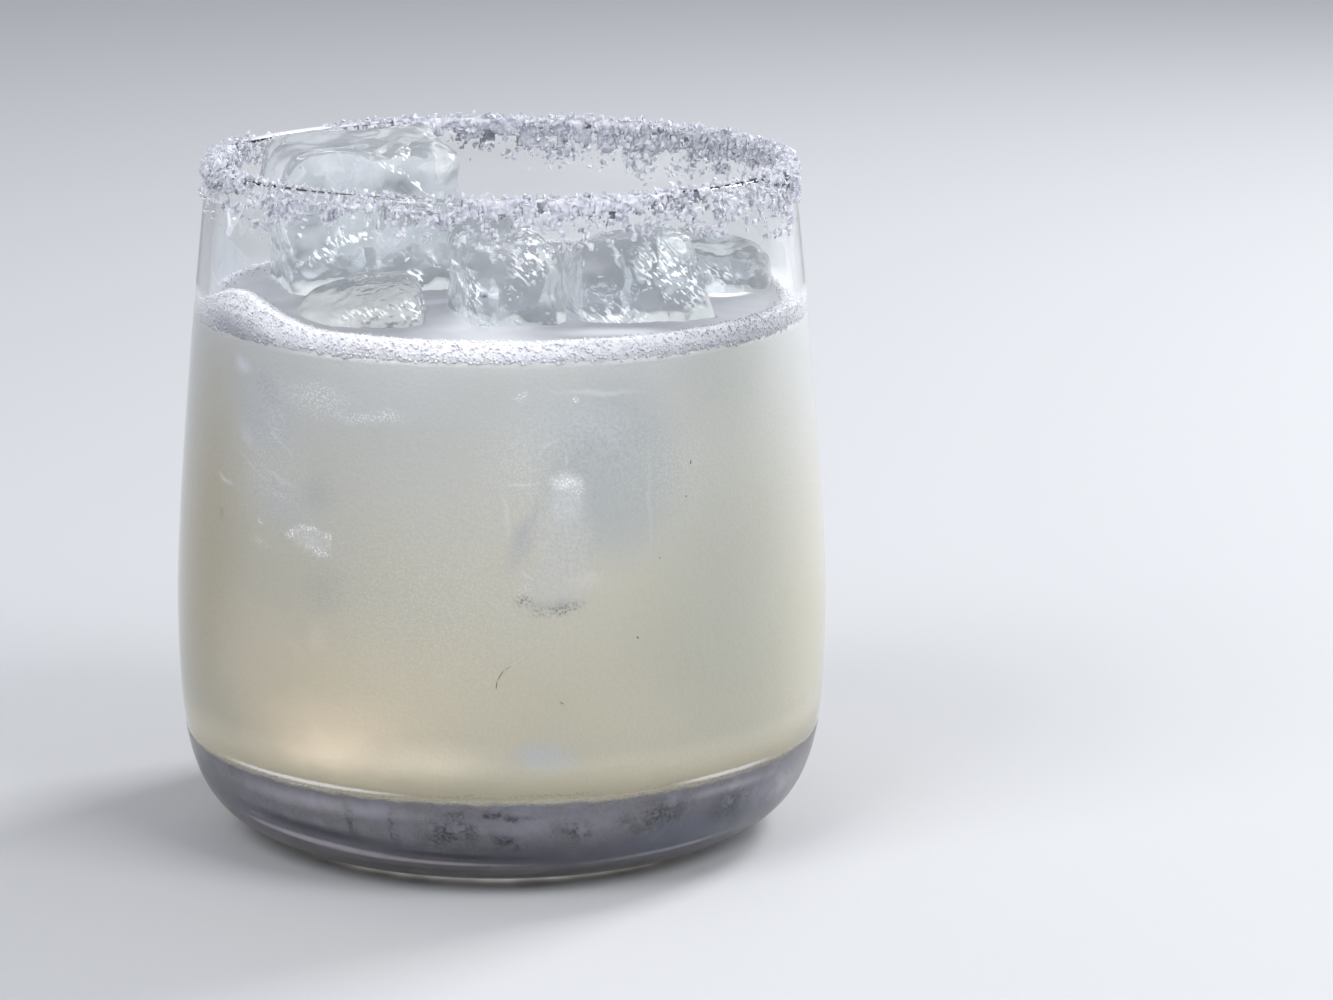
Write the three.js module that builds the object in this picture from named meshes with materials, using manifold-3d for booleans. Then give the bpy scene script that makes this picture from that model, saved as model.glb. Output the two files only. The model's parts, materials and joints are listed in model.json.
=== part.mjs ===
// A margarita on ice in a low, heavy-based tumbler with a salted rim.
// Millimetres, +Z up. The origin is the middle of the foot, on the table.

import * as THREE from 'three';
import { mergeVertices } from 'three/addons/utils/BufferGeometryUtils.js';
import Module from 'manifold-3d';

const wasm = await Module();
wasm.setup();

// The tumbler
const GLASS_HEIGHT = 90;
const LIP_RADIUS = 38.6;
const BELLY_RADIUS = 43.66;
const BELLY_HEIGHT = 30;
const FOOT_RADIUS = 24;
const FOOT_RING_INNER = 20.5;
const PUNT_DEPTH = 0.8;
const PUNT_SLOPE = 3;
const HEEL_REACH = 17.4;
const HEEL_RISE = 23.4;
const WALL_RISE = 11.6;
const WALL_BOW = 2.3;
const WALL_DROP = 20;
const LIP_THICKNESS = 1.5;
const WALL_THICKNESS = 2.2;
const FLOOR_HEIGHT = 13.6;
const FLOOR_CORNER = 5.5;

// What fills it
const DRINK_LEVEL = 69.6;
const FOAM_MIDDLE = 71.4;
const FOAM_EDGE = 72.4;
const FOAM_SWELL = 3.3;
const FOAM_SWELL_AZIMUTH = -58;
const FOAM_SWELL_SPREAD = 13;
const GAP = 0.3;

// The salt crust: how far it hangs down outside and inside the lip, and how thick it is
const SALT_THICKNESS = 1.15;
const SALT_GRAIN = 0.75;
const SALT_RAGGED = 1.7;
const SALT_COLUMNS = 180;
const SALT_SEED = 7;

// Facets round the axis, and along each stretch of the outline
const SIDES = 54;
const HEEL_STEPS = 7;
const WALL_STEPS = 5;
const CORNER_STEPS = 3;
const LIP_STEPS = 3;

const { degToRad, clamp, lerp, smoothstep } = THREE.MathUtils;
const v2 = (x, y) => new THREE.Vector2(x, y);

// The outline of the glass outside: a heel that sweeps up from the foot ring, and a wall that leans in.
const heelCurve = new THREE.CubicBezierCurve(
  v2(FOOT_RADIUS, 0),
  v2(FOOT_RADIUS + HEEL_REACH, 0),
  v2(BELLY_RADIUS, BELLY_HEIGHT - HEEL_RISE),
  v2(BELLY_RADIUS, BELLY_HEIGHT),
);
const wallCurve = new THREE.CubicBezierCurve(
  v2(BELLY_RADIUS, BELLY_HEIGHT),
  v2(BELLY_RADIUS, BELLY_HEIGHT + WALL_RISE),
  v2(LIP_RADIUS + WALL_BOW, GLASS_HEIGHT - WALL_DROP),
  v2(LIP_RADIUS, GLASS_HEIGHT),
);

// The radius outside at a height: halving finds the place on the curve.
function outerRadius(z) {
  const curve = z < BELLY_HEIGHT ? heelCurve : wallCurve;
  let low = 0;
  let high = 1;
  for (let step = 0; step < 30; step += 1) {
    const middle = (low + high) / 2;
    if (curve.getPoint(middle).y < z) low = middle;
    else high = middle;
  }
  return curve.getPoint(low).x;
}

function innerRadius(z) {
  const rise = clamp((z - FLOOR_HEIGHT) / (GLASS_HEIGHT - FLOOR_HEIGHT), 0, 1);
  return outerRadius(z) - lerp(WALL_THICKNESS, LIP_THICKNESS, rise);
}

// The wet outline from the wall down round the floor's corner, drawn in by a clearance.
function basinOutline(top, clearance) {
  const cornerTop = FLOOR_HEIGHT + FLOOR_CORNER;
  const points = [];
  for (let step = 0; step < WALL_STEPS; step += 1) {
    const z = lerp(top, cornerTop, step / WALL_STEPS);
    points.push(v2(innerRadius(z) - clearance, z));
  }
  const radius = FLOOR_CORNER - clearance;
  const centre = v2(innerRadius(cornerTop) - FLOOR_CORNER, cornerTop);
  for (let step = 0; step <= CORNER_STEPS; step += 1) {
    const turn = (Math.PI / 2) * (step / CORNER_STEPS);
    points.push(v2(centre.x + radius * Math.cos(turn), centre.y - radius * Math.sin(turn)));
  }
  points.push(v2(0, FLOOR_HEIGHT + clearance));
  return points;
}

// Turns a geometry into a solid: shared points merged, and facets of no area at the poles dropped.
function solidOf(geometry) {
  const bare = geometry.clone();
  bare.deleteAttribute('normal');
  bare.deleteAttribute('uv');
  const merged = mergeVertices(bare, 1e-4);
  const corners = merged.index.array;
  const kept = [];
  for (let at = 0; at < corners.length; at += 3) {
    const [a, b, c] = corners.subarray(at, at + 3);
    if (a !== b && b !== c && c !== a) kept.push(a, b, c);
  }
  return new wasm.Manifold(new wasm.Mesh({
    numProp: 3,
    vertProperties: new Float32Array(merged.attributes.position.array),
    triVerts: new Uint32Array(kept),
  }));
}

function geometryOf(solid) {
  const mesh = solid.getMesh();
  const geometry = new THREE.BufferGeometry();
  geometry.setAttribute('position', new THREE.BufferAttribute(mesh.vertProperties, 3));
  geometry.setIndex(new THREE.BufferAttribute(mesh.triVerts, 1));
  geometry.computeVertexNormals();
  return geometry;
}

// A turned solid about +Z. The outline runs anticlockwise, from the axis below to the axis above.
function turned(outline) {
  const geometry = new THREE.LatheGeometry(outline, SIDES);
  geometry.rotateX(Math.PI / 2);
  return geometry;
}

// Where a point stands round the glass, in degrees from the front, positive to the right.
const azimuthOf = (x, y) => THREE.MathUtils.radToDeg(Math.atan2(x, -y));

// A smooth hump of height 1 at a centre, with a spread; azimuths wrap round.
function hump(azimuth, centre, spread) {
  const away = ((azimuth - centre + 540) % 360) - 180;
  return Math.exp(-((away / spread) ** 2));
}

// The glass
function glass() {
  const outline = [
    v2(0, PUNT_DEPTH),
    v2(FOOT_RING_INNER - PUNT_SLOPE, PUNT_DEPTH),
    v2(FOOT_RING_INNER, 0),
    ...heelCurve.getPoints(HEEL_STEPS),
    ...wallCurve.getPoints(WALL_STEPS).slice(1, -1),
  ];
  const lip = LIP_THICKNESS / 2;
  for (let step = 0; step <= LIP_STEPS; step += 1) {
    const turn = Math.PI * (step / LIP_STEPS);
    outline.push(v2(LIP_RADIUS - lip + lip * Math.cos(turn), GLASS_HEIGHT - lip + lip * Math.sin(turn)));
  }
  outline.push(...basinOutline(GLASS_HEIGHT - lip, 0).slice(1));
  return solidOf(turned(outline));
}

// A block of ice: a rounded box whose faces are melted into shallow waves and whose top is narrower.
function iceBlock(shape, clearance) {
  const half = shape.size.map((side) => side / 2 + clearance);
  const round = shape.round + clearance;
  const steps = shape.steps;
  const geometry = new THREE.BoxGeometry(2 * half[0], 2 * half[1], 2 * half[2], steps, steps, steps);
  const place = geometry.attributes.position;
  const turn = new THREE.Euler(...shape.turn.map(degToRad), 'ZYX');
  const point = new THREE.Vector3();
  const core = new THREE.Vector3();
  for (let at = 0; at < place.count; at += 1) {
    point.fromBufferAttribute(place, at);
    core.set(
      clamp(point.x, round - half[0], half[0] - round),
      clamp(point.y, round - half[1], half[1] - round),
      clamp(point.z, round - half[2], half[2] - round),
    );
    point.sub(core).setLength(round).add(core);
    const wave = shape.melt * Math.sin(0.33 * point.x + shape.phase) * Math.cos(0.29 * point.y - shape.phase);
    const dent = shape.melt * Math.cos(0.31 * point.z + 2 * shape.phase);
    const narrow = 1 - shape.taper * (point.z / (2 * half[2]) + 0.5);
    point.set(point.x * narrow + dent, point.y * narrow + wave, point.z + wave * 0.8);
    point.applyEuler(turn);
    place.setXYZ(at, point.x + shape.centre[0], point.y + shape.centre[1], point.z + shape.centre[2]);
  }
  return solidOf(geometry);
}

const ICE = {
  ice_back_left: {
    centre: [-18.4, 9.9, 76.7], size: [26, 21.5, 28.5], turn: [5, -2, 14],
    round: 3.6, melt: 0.5, taper: 0.08, phase: 0.4, steps: 6,
  },
  ice_front_left: {
    centre: [-17.2, -15.1, 64.3], size: [17.5, 18, 21], turn: [9, -12, -2],
    round: 3, melt: 0.45, taper: 0.04, phase: 1.7, steps: 5,
  },
  ice_middle: {
    centre: [0.4, -14.6, 70.4], size: [13, 19, 23], turn: [4, -1, 13],
    round: 2.8, melt: 0.35, taper: 0.07, phase: 2.6, steps: 5,
  },
  ice_right: {
    centre: [17.6, -13.6, 71], size: [19.5, 17, 22], turn: [-3, -6, 13],
    round: 3.6, melt: 0.45, taper: 0.23, phase: 3.9, steps: 5,
  },
  ice_back_right: {
    centre: [27.6, 7.4, 67.3], size: [18.5, 17, 21], turn: [3, 4, 2],
    round: 3.6, melt: 0.45, taper: 0.16, phase: 5.2, steps: 5,
  },
};

// The drink below the froth
function drink() {
  const outline = [...basinOutline(DRINK_LEVEL, GAP).reverse(), v2(0, DRINK_LEVEL)];
  return solidOf(turned(outline));
}

// The froth on top: a thin layer that stands up against the wall and swells on one side.
function foam() {
  const base = DRINK_LEVEL + GAP;
  const edge = innerRadius(base) - GAP;
  const rings = [1, 0.965, 0.9, 0.78, 0.55, 0.28];
  const outline = [v2(0, base), v2(edge, base), ...rings.map((part) => v2(edge * part, FOAM_MIDDLE)), v2(0, FOAM_MIDDLE)];
  const geometry = turned(outline);
  const place = geometry.attributes.position;
  for (let at = 0; at < place.count; at += 1) {
    const x = place.getX(at);
    const y = place.getY(at);
    if (place.getZ(at) < base + GAP) continue;
    const radius = Math.hypot(x, y);
    const azimuth = azimuthOf(x, y);
    const out = radius / edge;
    const rim = (FOAM_EDGE - FOAM_MIDDLE) * smoothstep(out, 0.9, 0.97);
    const swell = FOAM_SWELL * smoothstep(out, 0.74, 0.99) * hump(azimuth, FOAM_SWELL_AZIMUTH, FOAM_SWELL_SPREAD);
    const ripple = 0.12 * Math.sin(x * 0.8) * Math.cos(y * 0.7);
    const z = FOAM_MIDDLE + rim + swell + ripple;
    const pull = out > 0.999 ? (innerRadius(z) - GAP) / radius : 1;
    place.setXYZ(at, x * pull, y * pull, z);
  }
  return solidOf(geometry);
}

// The lowest edge of the salt at an azimuth, outside and inside the lip.
function saltHangsOutside(azimuth) {
  const clumps = 2.3 * hump(azimuth, -12, 9) + 2.4 * hump(azimuth, 45, 7) + 2.6 * hump(azimuth, 66, 8)
    + 1.9 * hump(azimuth, -38, 5) + 1.6 * hump(azimuth, 20, 16) + 1.5 * hump(azimuth, 120, 30);
  const drips = 3.6 * hump(azimuth, -62.5, 1.4) + 2.4 * hump(azimuth, -56.5, 1.2) + 1.6 * hump(azimuth, -78, 1.5);
  return 3.4 + clumps + drips - 1.1 * hump(azimuth, -27, 6);
}

function saltHangsInside(azimuth) {
  const clumps = 2.6 * hump(azimuth, 150, 22) + 2.2 * hump(azimuth, 128, 12) + 1.4 * hump(azimuth, 176, 12);
  return 2.2 + clumps + 3.2 * hump(azimuth, 148, 2.2) - 0.8 * hump(azimuth, -140, 25);
}

// A spot over the lip. Stops run from -1, the hem outside, through 0 and 1, where the round of the
// lip begins and ends, to 2, the hem inside.
function overLip(stop, outsideDepth, insideDepth, out) {
  const lip = LIP_THICKNESS / 2;
  const lipCentre = GLASS_HEIGHT - lip;
  if (stop < 0) {
    const z = lipCentre + stop * outsideDepth;
    return v2(outerRadius(z) + out, z);
  }
  if (stop > 1) {
    const z = lipCentre - (stop - 1) * insideDepth;
    return v2(innerRadius(z) - out, z);
  }
  const turn = Math.PI * stop;
  return v2(LIP_RADIUS - lip + (lip + out) * Math.cos(turn), lipCentre + (lip + out) * Math.sin(turn));
}

// Seeded draws between 0 and 1
function draws(seed) {
  let state = seed;
  return () => {
    state = (state * 1664525 + 1013904223) % 4294967296;
    return state / 4294967296;
  };
}

// The salt crust: a band folded over the lip, with a ragged hem and bumps the size of its grains.
function saltRim() {
  const draw = draws(SALT_SEED);
  const outerStops = [-1, -0.5, 0, 1 / 3, 2 / 3, 1, 1.5, 2];
  const seatStops = [2, 1, 2 / 3, 1 / 3, 0, -1];
  const count = outerStops.length + seatStops.length;
  const points = [];
  for (let column = 0; column < SALT_COLUMNS; column += 1) {
    const azimuth = (360 * column) / SALT_COLUMNS - 180;
    const outsideDepth = saltHangsOutside(azimuth) + SALT_RAGGED * (draw() - 0.5);
    const insideDepth = saltHangsInside(azimuth) + SALT_RAGGED * 0.6 * (draw() - 0.5);
    const bare = 1 - 0.8 * hump(azimuth, -137, 14);
    const loop = [];
    for (const stop of outerStops) {
      const hem = stop === -1 || stop === 2 ? 0.25 : 1;
      const bump = hem * bare * (SALT_THICKNESS - SALT_GRAIN * draw());
      loop.push(overLip(stop, outsideDepth, insideDepth, GAP + Math.max(bump, 0.12)));
    }
    for (const stop of seatStops) loop.push(overLip(stop, outsideDepth, insideDepth, GAP));
    const turn = degToRad(azimuth);
    for (const spot of loop) points.push(spot.x * Math.sin(turn), -spot.x * Math.cos(turn), spot.y);
  }
  const corners = [];
  for (let column = 0; column < SALT_COLUMNS; column += 1) {
    const next = (column + 1) % SALT_COLUMNS;
    for (let at = 0; at < count; at += 1) {
      const beside = (at + 1) % count;
      const [a, b] = [column * count + at, next * count + at];
      const [c, d] = [next * count + beside, column * count + beside];
      corners.push(a, b, c, a, c, d);
    }
  }
  const geometry = new THREE.BufferGeometry();
  geometry.setAttribute('position', new THREE.BufferAttribute(new Float32Array(points), 3));
  geometry.setIndex(corners);
  return solidOf(geometry);
}

const clearGlass = { color: 0xcdd3da, roughness: 0.05, metalness: 0, transparent: true, opacity: 0.35 };
const clearIce = { color: 0xc3ccd2, roughness: 0.15, metalness: 0, transparent: true, opacity: 0.7 };
const limeDrink = { color: 0xb6b9ac, roughness: 0.35, metalness: 0 };
const whiteFroth = { color: 0xe4e5ea, roughness: 0.8, metalness: 0 };
const seaSalt = { color: 0xd2d6e0, roughness: 0.7, metalness: 0 };

const cocktail = new THREE.Group();

function addPiece(name, solid, finish) {
  const piece = new THREE.Mesh(geometryOf(solid), new THREE.MeshStandardMaterial(finish));
  piece.name = name;
  cocktail.add(piece);
}

let drinkLeft = drink();
let foamLeft = foam();
for (const shape of Object.values(ICE)) {
  const room = iceBlock(shape, GAP);
  drinkLeft = drinkLeft.subtract(room);
  foamLeft = foamLeft.subtract(room);
}

addPiece('glass', glass(), clearGlass);
addPiece('drink', drinkLeft, limeDrink);
addPiece('foam', foamLeft, whiteFroth);
for (const [name, shape] of Object.entries(ICE)) addPiece(name, iceBlock(shape, 0), clearIce);
addPiece('salt_rim', saltRim(), seaSalt);

export default cocktail;
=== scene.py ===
import json
import math
import random

import bmesh
import bpy
import numpy as np
from mathutils import Euler, Matrix, Vector, noise
from mathutils.bvhtree import BVHTree

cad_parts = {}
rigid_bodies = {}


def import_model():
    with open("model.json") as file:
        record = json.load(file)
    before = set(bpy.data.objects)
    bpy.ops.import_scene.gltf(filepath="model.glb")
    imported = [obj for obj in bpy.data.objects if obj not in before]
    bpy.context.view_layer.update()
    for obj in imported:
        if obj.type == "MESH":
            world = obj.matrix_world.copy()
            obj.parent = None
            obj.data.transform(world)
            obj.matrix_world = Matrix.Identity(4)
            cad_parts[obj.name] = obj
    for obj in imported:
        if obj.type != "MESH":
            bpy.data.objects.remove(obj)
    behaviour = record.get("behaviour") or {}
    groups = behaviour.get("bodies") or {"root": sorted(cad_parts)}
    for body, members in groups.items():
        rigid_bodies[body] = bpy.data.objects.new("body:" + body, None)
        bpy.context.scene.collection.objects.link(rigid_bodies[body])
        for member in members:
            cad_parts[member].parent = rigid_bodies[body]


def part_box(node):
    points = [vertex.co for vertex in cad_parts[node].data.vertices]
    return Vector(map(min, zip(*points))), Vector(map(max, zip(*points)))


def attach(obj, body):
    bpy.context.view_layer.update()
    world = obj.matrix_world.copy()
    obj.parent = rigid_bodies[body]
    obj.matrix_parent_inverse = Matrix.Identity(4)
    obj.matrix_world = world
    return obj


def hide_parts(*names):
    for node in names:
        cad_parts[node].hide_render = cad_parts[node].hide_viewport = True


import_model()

# The looks of a margarita on ice in a low tumbler with a salted rim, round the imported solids.
bl_info = {
    "name": "Margarita on Ice",
    "version": (1, 0, 0),
    "blender": (4, 5, 0),
    "location": "View3D > Sidebar > Margarita",
    "description": "Builds an iced margarita in a salted tumbler, piece by piece",
    "category": "Add Mesh",
}

# Sizes are in millimetres, and meshes are in metres.
MM = 0.001
BODY = "root"
ORIGIN = (0.0, 0.0, 0.0)
BLACK = (0.0, 0.0, 0.0)

# The tumbler's outline: heel and wall are each one curve with four control points, as radius and height.
GLASS_HEIGHT = 90.0
LIP_RADIUS = 38.6
BELLY_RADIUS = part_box("glass")[1].y / MM
BELLY_HEIGHT = 30.0
HEEL = ((24.0, 0.0), (41.4, 0.0), (BELLY_RADIUS, 6.6), (BELLY_RADIUS, BELLY_HEIGHT))
WALL = ((BELLY_RADIUS, BELLY_HEIGHT), (BELLY_RADIUS, 41.6), (40.9, 70.0), (LIP_RADIUS, GLASS_HEIGHT))
FOOT_RING_INNER = 20.5
PUNT_DEPTH = 0.8
PUNT_SLOPE = 3.0
PUNT_STEPS = 4
LIP_THICKNESS = 1.5
WALL_THICKNESS = 2.2
FLOOR_HEIGHT = 13.6
FLOOR_CORNER = 5.5
LIP_CENTRE = GLASS_HEIGHT - LIP_THICKNESS / 2
OUTLINE_STEPS = 160
HEEL_STEPS = 28
WALL_STEPS = 26
LIP_STEPS = 12

# The glass's finish: where its outer mist fades out, where the base's tint starts, and the film on the base
CLEAR_GLASS = (0.97, 0.98, 0.98)
MIST_EDGE = (73.5, 70.0)
BASE_EDGE = (15.5, 13.5)
MIST_HEIGHTS = (0.3, 14.6)
MIST_STEPS = 32
MIST_OUT = 0.03

# The levels inside it, and how far the drink reaches into the wall and up into the froth
DRINK_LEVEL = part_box("drink")[1].z / MM
FOAM_MIDDLE = 71.3
FOAM_EDGE = 72.4
FOAM_SWELL = 3.3
FOAM_SWELL_AZIMUTH = -58.0
FOAM_SWELL_SPREAD = 13.0
INTO_WALL = 0.25
INTO_FROTH = 0.8
DRINK_SIDES = 160

# The froth's mesh: its sides, its rings from the wall to the middle, how far it reaches past the drink into
# the wall and below the level, and the foot of the veil it has left on the wall
FROTH_SIDES = 300
FROTH_PARTS = [1.0, 0.996, 0.988, 0.976, 0.962, 0.945, 0.925, 0.9]
FROTH_PARTS += [0.9 * (1 - k / 44) for k in range(1, 44)]
FROTH_OVERLAP = 0.06
FROTH_UNDER = 0.4
VEIL_FOOT = 70.6

# The ice that stands out of the drink: centre, size, turn in degrees, rounding, melt, taper, phase
ICE = {
    "ice_back_left": ((-18.4, 9.9, 76.7), (26, 21.5, 28.5), (5, -2, 14), 3.6, 0.5, 0.08, 0.4),
    "ice_front_left": ((-17.2, -15.1, 64.3), (17.5, 18, 21), (9, -12, -2), 3.0, 0.45, 0.04, 1.7),
    "ice_middle": ((0.4, -14.6, 70.4), (13, 19, 23), (4, -1, 13), 2.8, 0.35, 0.07, 2.6),
    "ice_right": ((17.6, -13.6, 71), (19.5, 17, 22), (-3, -6, 13), 3.6, 0.45, 0.23, 3.9),
    "ice_back_right": ((27.6, 7.4, 67.3), (18.5, 17, 21), (3, 4, 2), 3.6, 0.45, 0.16, 5.2),
}

# The hollow in the front face of the tall block, known by its phase: its middle from the block's centre
HOLLOW = Vector((2.5, -10.8, 8.0))
HOLLOW_PUSH = Vector((0, 1.8, -0.5))
HOLLOW_PHASE = 0.4

# Facets along an edge of a block, and what the standing ice is drawn in by
ICE_STEPS = 36
SUNK_STEPS = 40
CUTTER_STEPS = 20
ICE_SHRINK = 0.02

# What is frozen into the standing ice: cracks in a block and in the tall one, and bubbles
ICE_SEED = 100
CRACKS = 4
TALL_CRACKS = 5
AIR_BUBBLES = 34

# Its clear and its milky colour
ICE_TONES = ((0.72, 0.755, 0.78), (0.88, 0.90, 0.92))

# Ice that is wholly sunk, pressed against the wall
SUNK_ICE = {
    "centre": ((13.2, -30.2, 55.0), (18, 16, 21), (0, 3, 20), 3.2, 0.3, 0.05, 0.9),
    "bell": ((6.6, -35.2, 47.0), (9, 9, 17), (0, 2, 8), 3.6, 0.2, 0.45, 3.1),
    "left": ((-24.6, -24.6, 57), (17, 14, 17), (4, -12, -44), 3.4, 0.35, 0.05, 2.2),
    "low_left": ((-20.2, -29.4, 42), (8, 8, 11), (4, 12, -34), 2.6, 0.25, 0.1, 1.2),
}

# The camera, as fitted to the photograph's outlines
CAMERA_DISTANCE = 536.0
CAMERA_HEIGHT = 167.3
CAMERA_YAW = 2.36
CAMERA_PITCH = 13.01
CAMERA_ROLL = 0.33
FOCAL_PIXELS = 4086.0
IMAGE_WIDTH = 1333.0
SENSOR_WIDTH = 36.0

# The lamps: place and size in metres, power
LAMPS = (
    ("key_lamp", (0.62, 0.50, 0.72), 0.32, 7.0),
    ("fill_lamp", (-0.70, -0.70, 0.95), 0.7, 7.5),
    ("right_lamp", (0.85, -0.65, 0.90), 0.7, 8.5),
)
SURROUND_COLOUR = (0.86, 0.90, 1.0, 1.0)

# Sides of the grains, as shares of their size
GRAINS = ((1, 0.95, 0.8), (1, 0.85, 0.4), (1, 0.9, 0.3), (1.15, 0.7, 0.35), (0.9, 0.9, 0.55))
SHARDS = ((1, 0.45, 0.35), (1, 0.6, 0.3), (0.9, 0.5, 0.5), (1, 0.35, 0.3))

# Shreds of lime against the wall: azimuth and height of each end, and width
PULP = (
    (-1.0, 30.0, 0.1, 31.4, 0.16), (0.1, 31.4, 1.6, 31.9, 0.14), (-1.2, 28.9, -1.0, 30.0, 0.14),
    (35.3, 56.3, 35.1, 55.7, 0.26), (33.9, 51.9, 34.0, 51.6, 0.24), (23.4, 34.8, 23.7, 34.4, 0.26),
    (28.0, 44.5, 28.2, 44.3, 0.2), (9.6, 27.1, 10.4, 26.7, 0.24), (-118.0, 52.0, -117.2, 51.2, 0.25),
    (151.0, 38.0, 152.0, 37.4, 0.25), (96.0, 60.0, 96.5, 59.3, 0.22),
)

# Stretches of the lip's top that the salt leaves bare: azimuth, spread, share
BARE_LIP = ((-132, 13, 1.0), (-50, 5, 0.5), (-32, 12, 0.4), (-16, 5, 0.5), (53, 6, 0.4))

# The band that carries the salt: columns round the lip, rows outside, over and inside it, and their spacing
BAND_COLUMNS = 560
BAND_OUTSIDE = 22
BAND_ARC = 5
BAND_INSIDE = 19
BAND_STEP = 0.42

# How the salt thins towards the front of the lip, holds on inside, and breaks up into lace
FRONT_THINNING = 0.55
INSIDE_FULLNESS = 1.45
COARSE_LACE = 1.25
FINE_LACE = 0.9
LACE_SHIFT = Vector((9, 4, 2))

# Dust and shards, as shares of the coarse grains' density and in millimetres
DUST_SHARE = 0.8
DUST_SMALLEST = 0.22
SHARD_SHARE = 0.4
SHARD_SMALLEST = 0.8
SHARD_STRETCH = 1.25

# The crust under the grains is kept where its cover is full. A crystal is the hull of a few points, most of
# them pushed out onto the faces of their box.
CRUST_COVER = 0.97
CRUST_THICKNESS = 0.1
CRYSTAL_CORNERS = 9
CRYSTAL_FLATNESS = 0.75

# Brine that has run down outside and met in a bulb, with short spikes beside it: azimuth, height, width
DRIPS = (
    ((-63.4, 87.6, 0.9), (-63.1, 86.4, 0.7), (-62.4, 85.0, 0.6), (-61.4, 83.9, 0.8), (-60.9, 83.1, 1.45),
     (-60.8, 82.4, 0.9)),
    ((-55.6, 87.6, 0.9), (-56.4, 86.4, 0.7), (-57.8, 85.2, 0.55), (-59.4, 84.1, 0.7), (-60.5, 83.3, 1.2),
     (-60.7, 82.6, 0.8)),
    ((-76.0, 87.4, 0.6), (-76.0, 86.0, 0.4), (-76.1, 84.9, 0.3)),
    ((-71.5, 87.4, 0.6), (-71.4, 86.4, 0.4), (-71.3, 85.6, 0.3)),
)

# What shows through the wall of the drink, and a painted warm glow of light and painted shade at its sides,
# are painted on it, laid flat at the belly's radius, by soft strokes: azimuth in degrees, height, half width,
# half height, tilt in degrees, tone and strength. A stroke may end
# with its core, the share of it that is in full tone. A noise makes the strokes' edges waver, and a patch
# that has no bound in some direction is endless there.
WALL_UNROLLED = 41.5
ARC_OF_DEGREE = math.radians(WALL_UNROLLED)
WAVER = 3.0
ENDLESS = 10000.0
CLOUD_CORE = 0.05
ICE_CORE = 0.0
CLOUDS_GLOW_AND_SHADE = (
    # The first four: a painted warm glow of light low at the left
    (-29, 25, 29, 16, 0, (0.68, 0.60, 0.455), 0.62),
    (-32, 20.5, 18, 8.5, 5, (0.86, 0.73, 0.55), 0.8),
    (-32, 19, 9, 4.6, 8, (1.0, 0.87, 0.67), 0.85),
    (-15, 18.8, 14, 3.8, 4, (0.84, 0.75, 0.60), 0.65),
    # Painted shade at the left edge
    (-64, 42, 13, 36, 0, (0.39, 0.345, 0.235), 0.7),
    (20, 56, 12.5, 15, 0, (0.37, 0.395, 0.41), 0.75, 0.4),
    (12, 63, 12, 5, -6, (0.49, 0.52, 0.545), 0.6),
    (30, 33, 16, 12, 0, (0.42, 0.41, 0.345), 0.45),
    (-48, 61, 10, 7, -25, (0.45, 0.47, 0.51), 0.6),
    (-41, 50, 9, 5, -20, (0.47, 0.49, 0.52), 0.5),
    (-32, 40, 4.5, 5.5, 12, (0.37, 0.37, 0.355), 0.4),
    (7, 19.8, 6, 3.2, -4, (0.46, 0.48, 0.53), 0.75),
    # Painted shade down the right side
    (46, 42, 22, 40, 0, (0.405, 0.415, 0.365), 0.7),
    (-50, 30, 12, 12, 0, (0.60, 0.54, 0.43), 0.5),
    (-22, 66, 14, 6, 0, (0.55, 0.57, 0.59), 0.5),
    (46, 66, 13, 14, 0, (0.42, 0.435, 0.41), 0.6),
)
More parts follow.
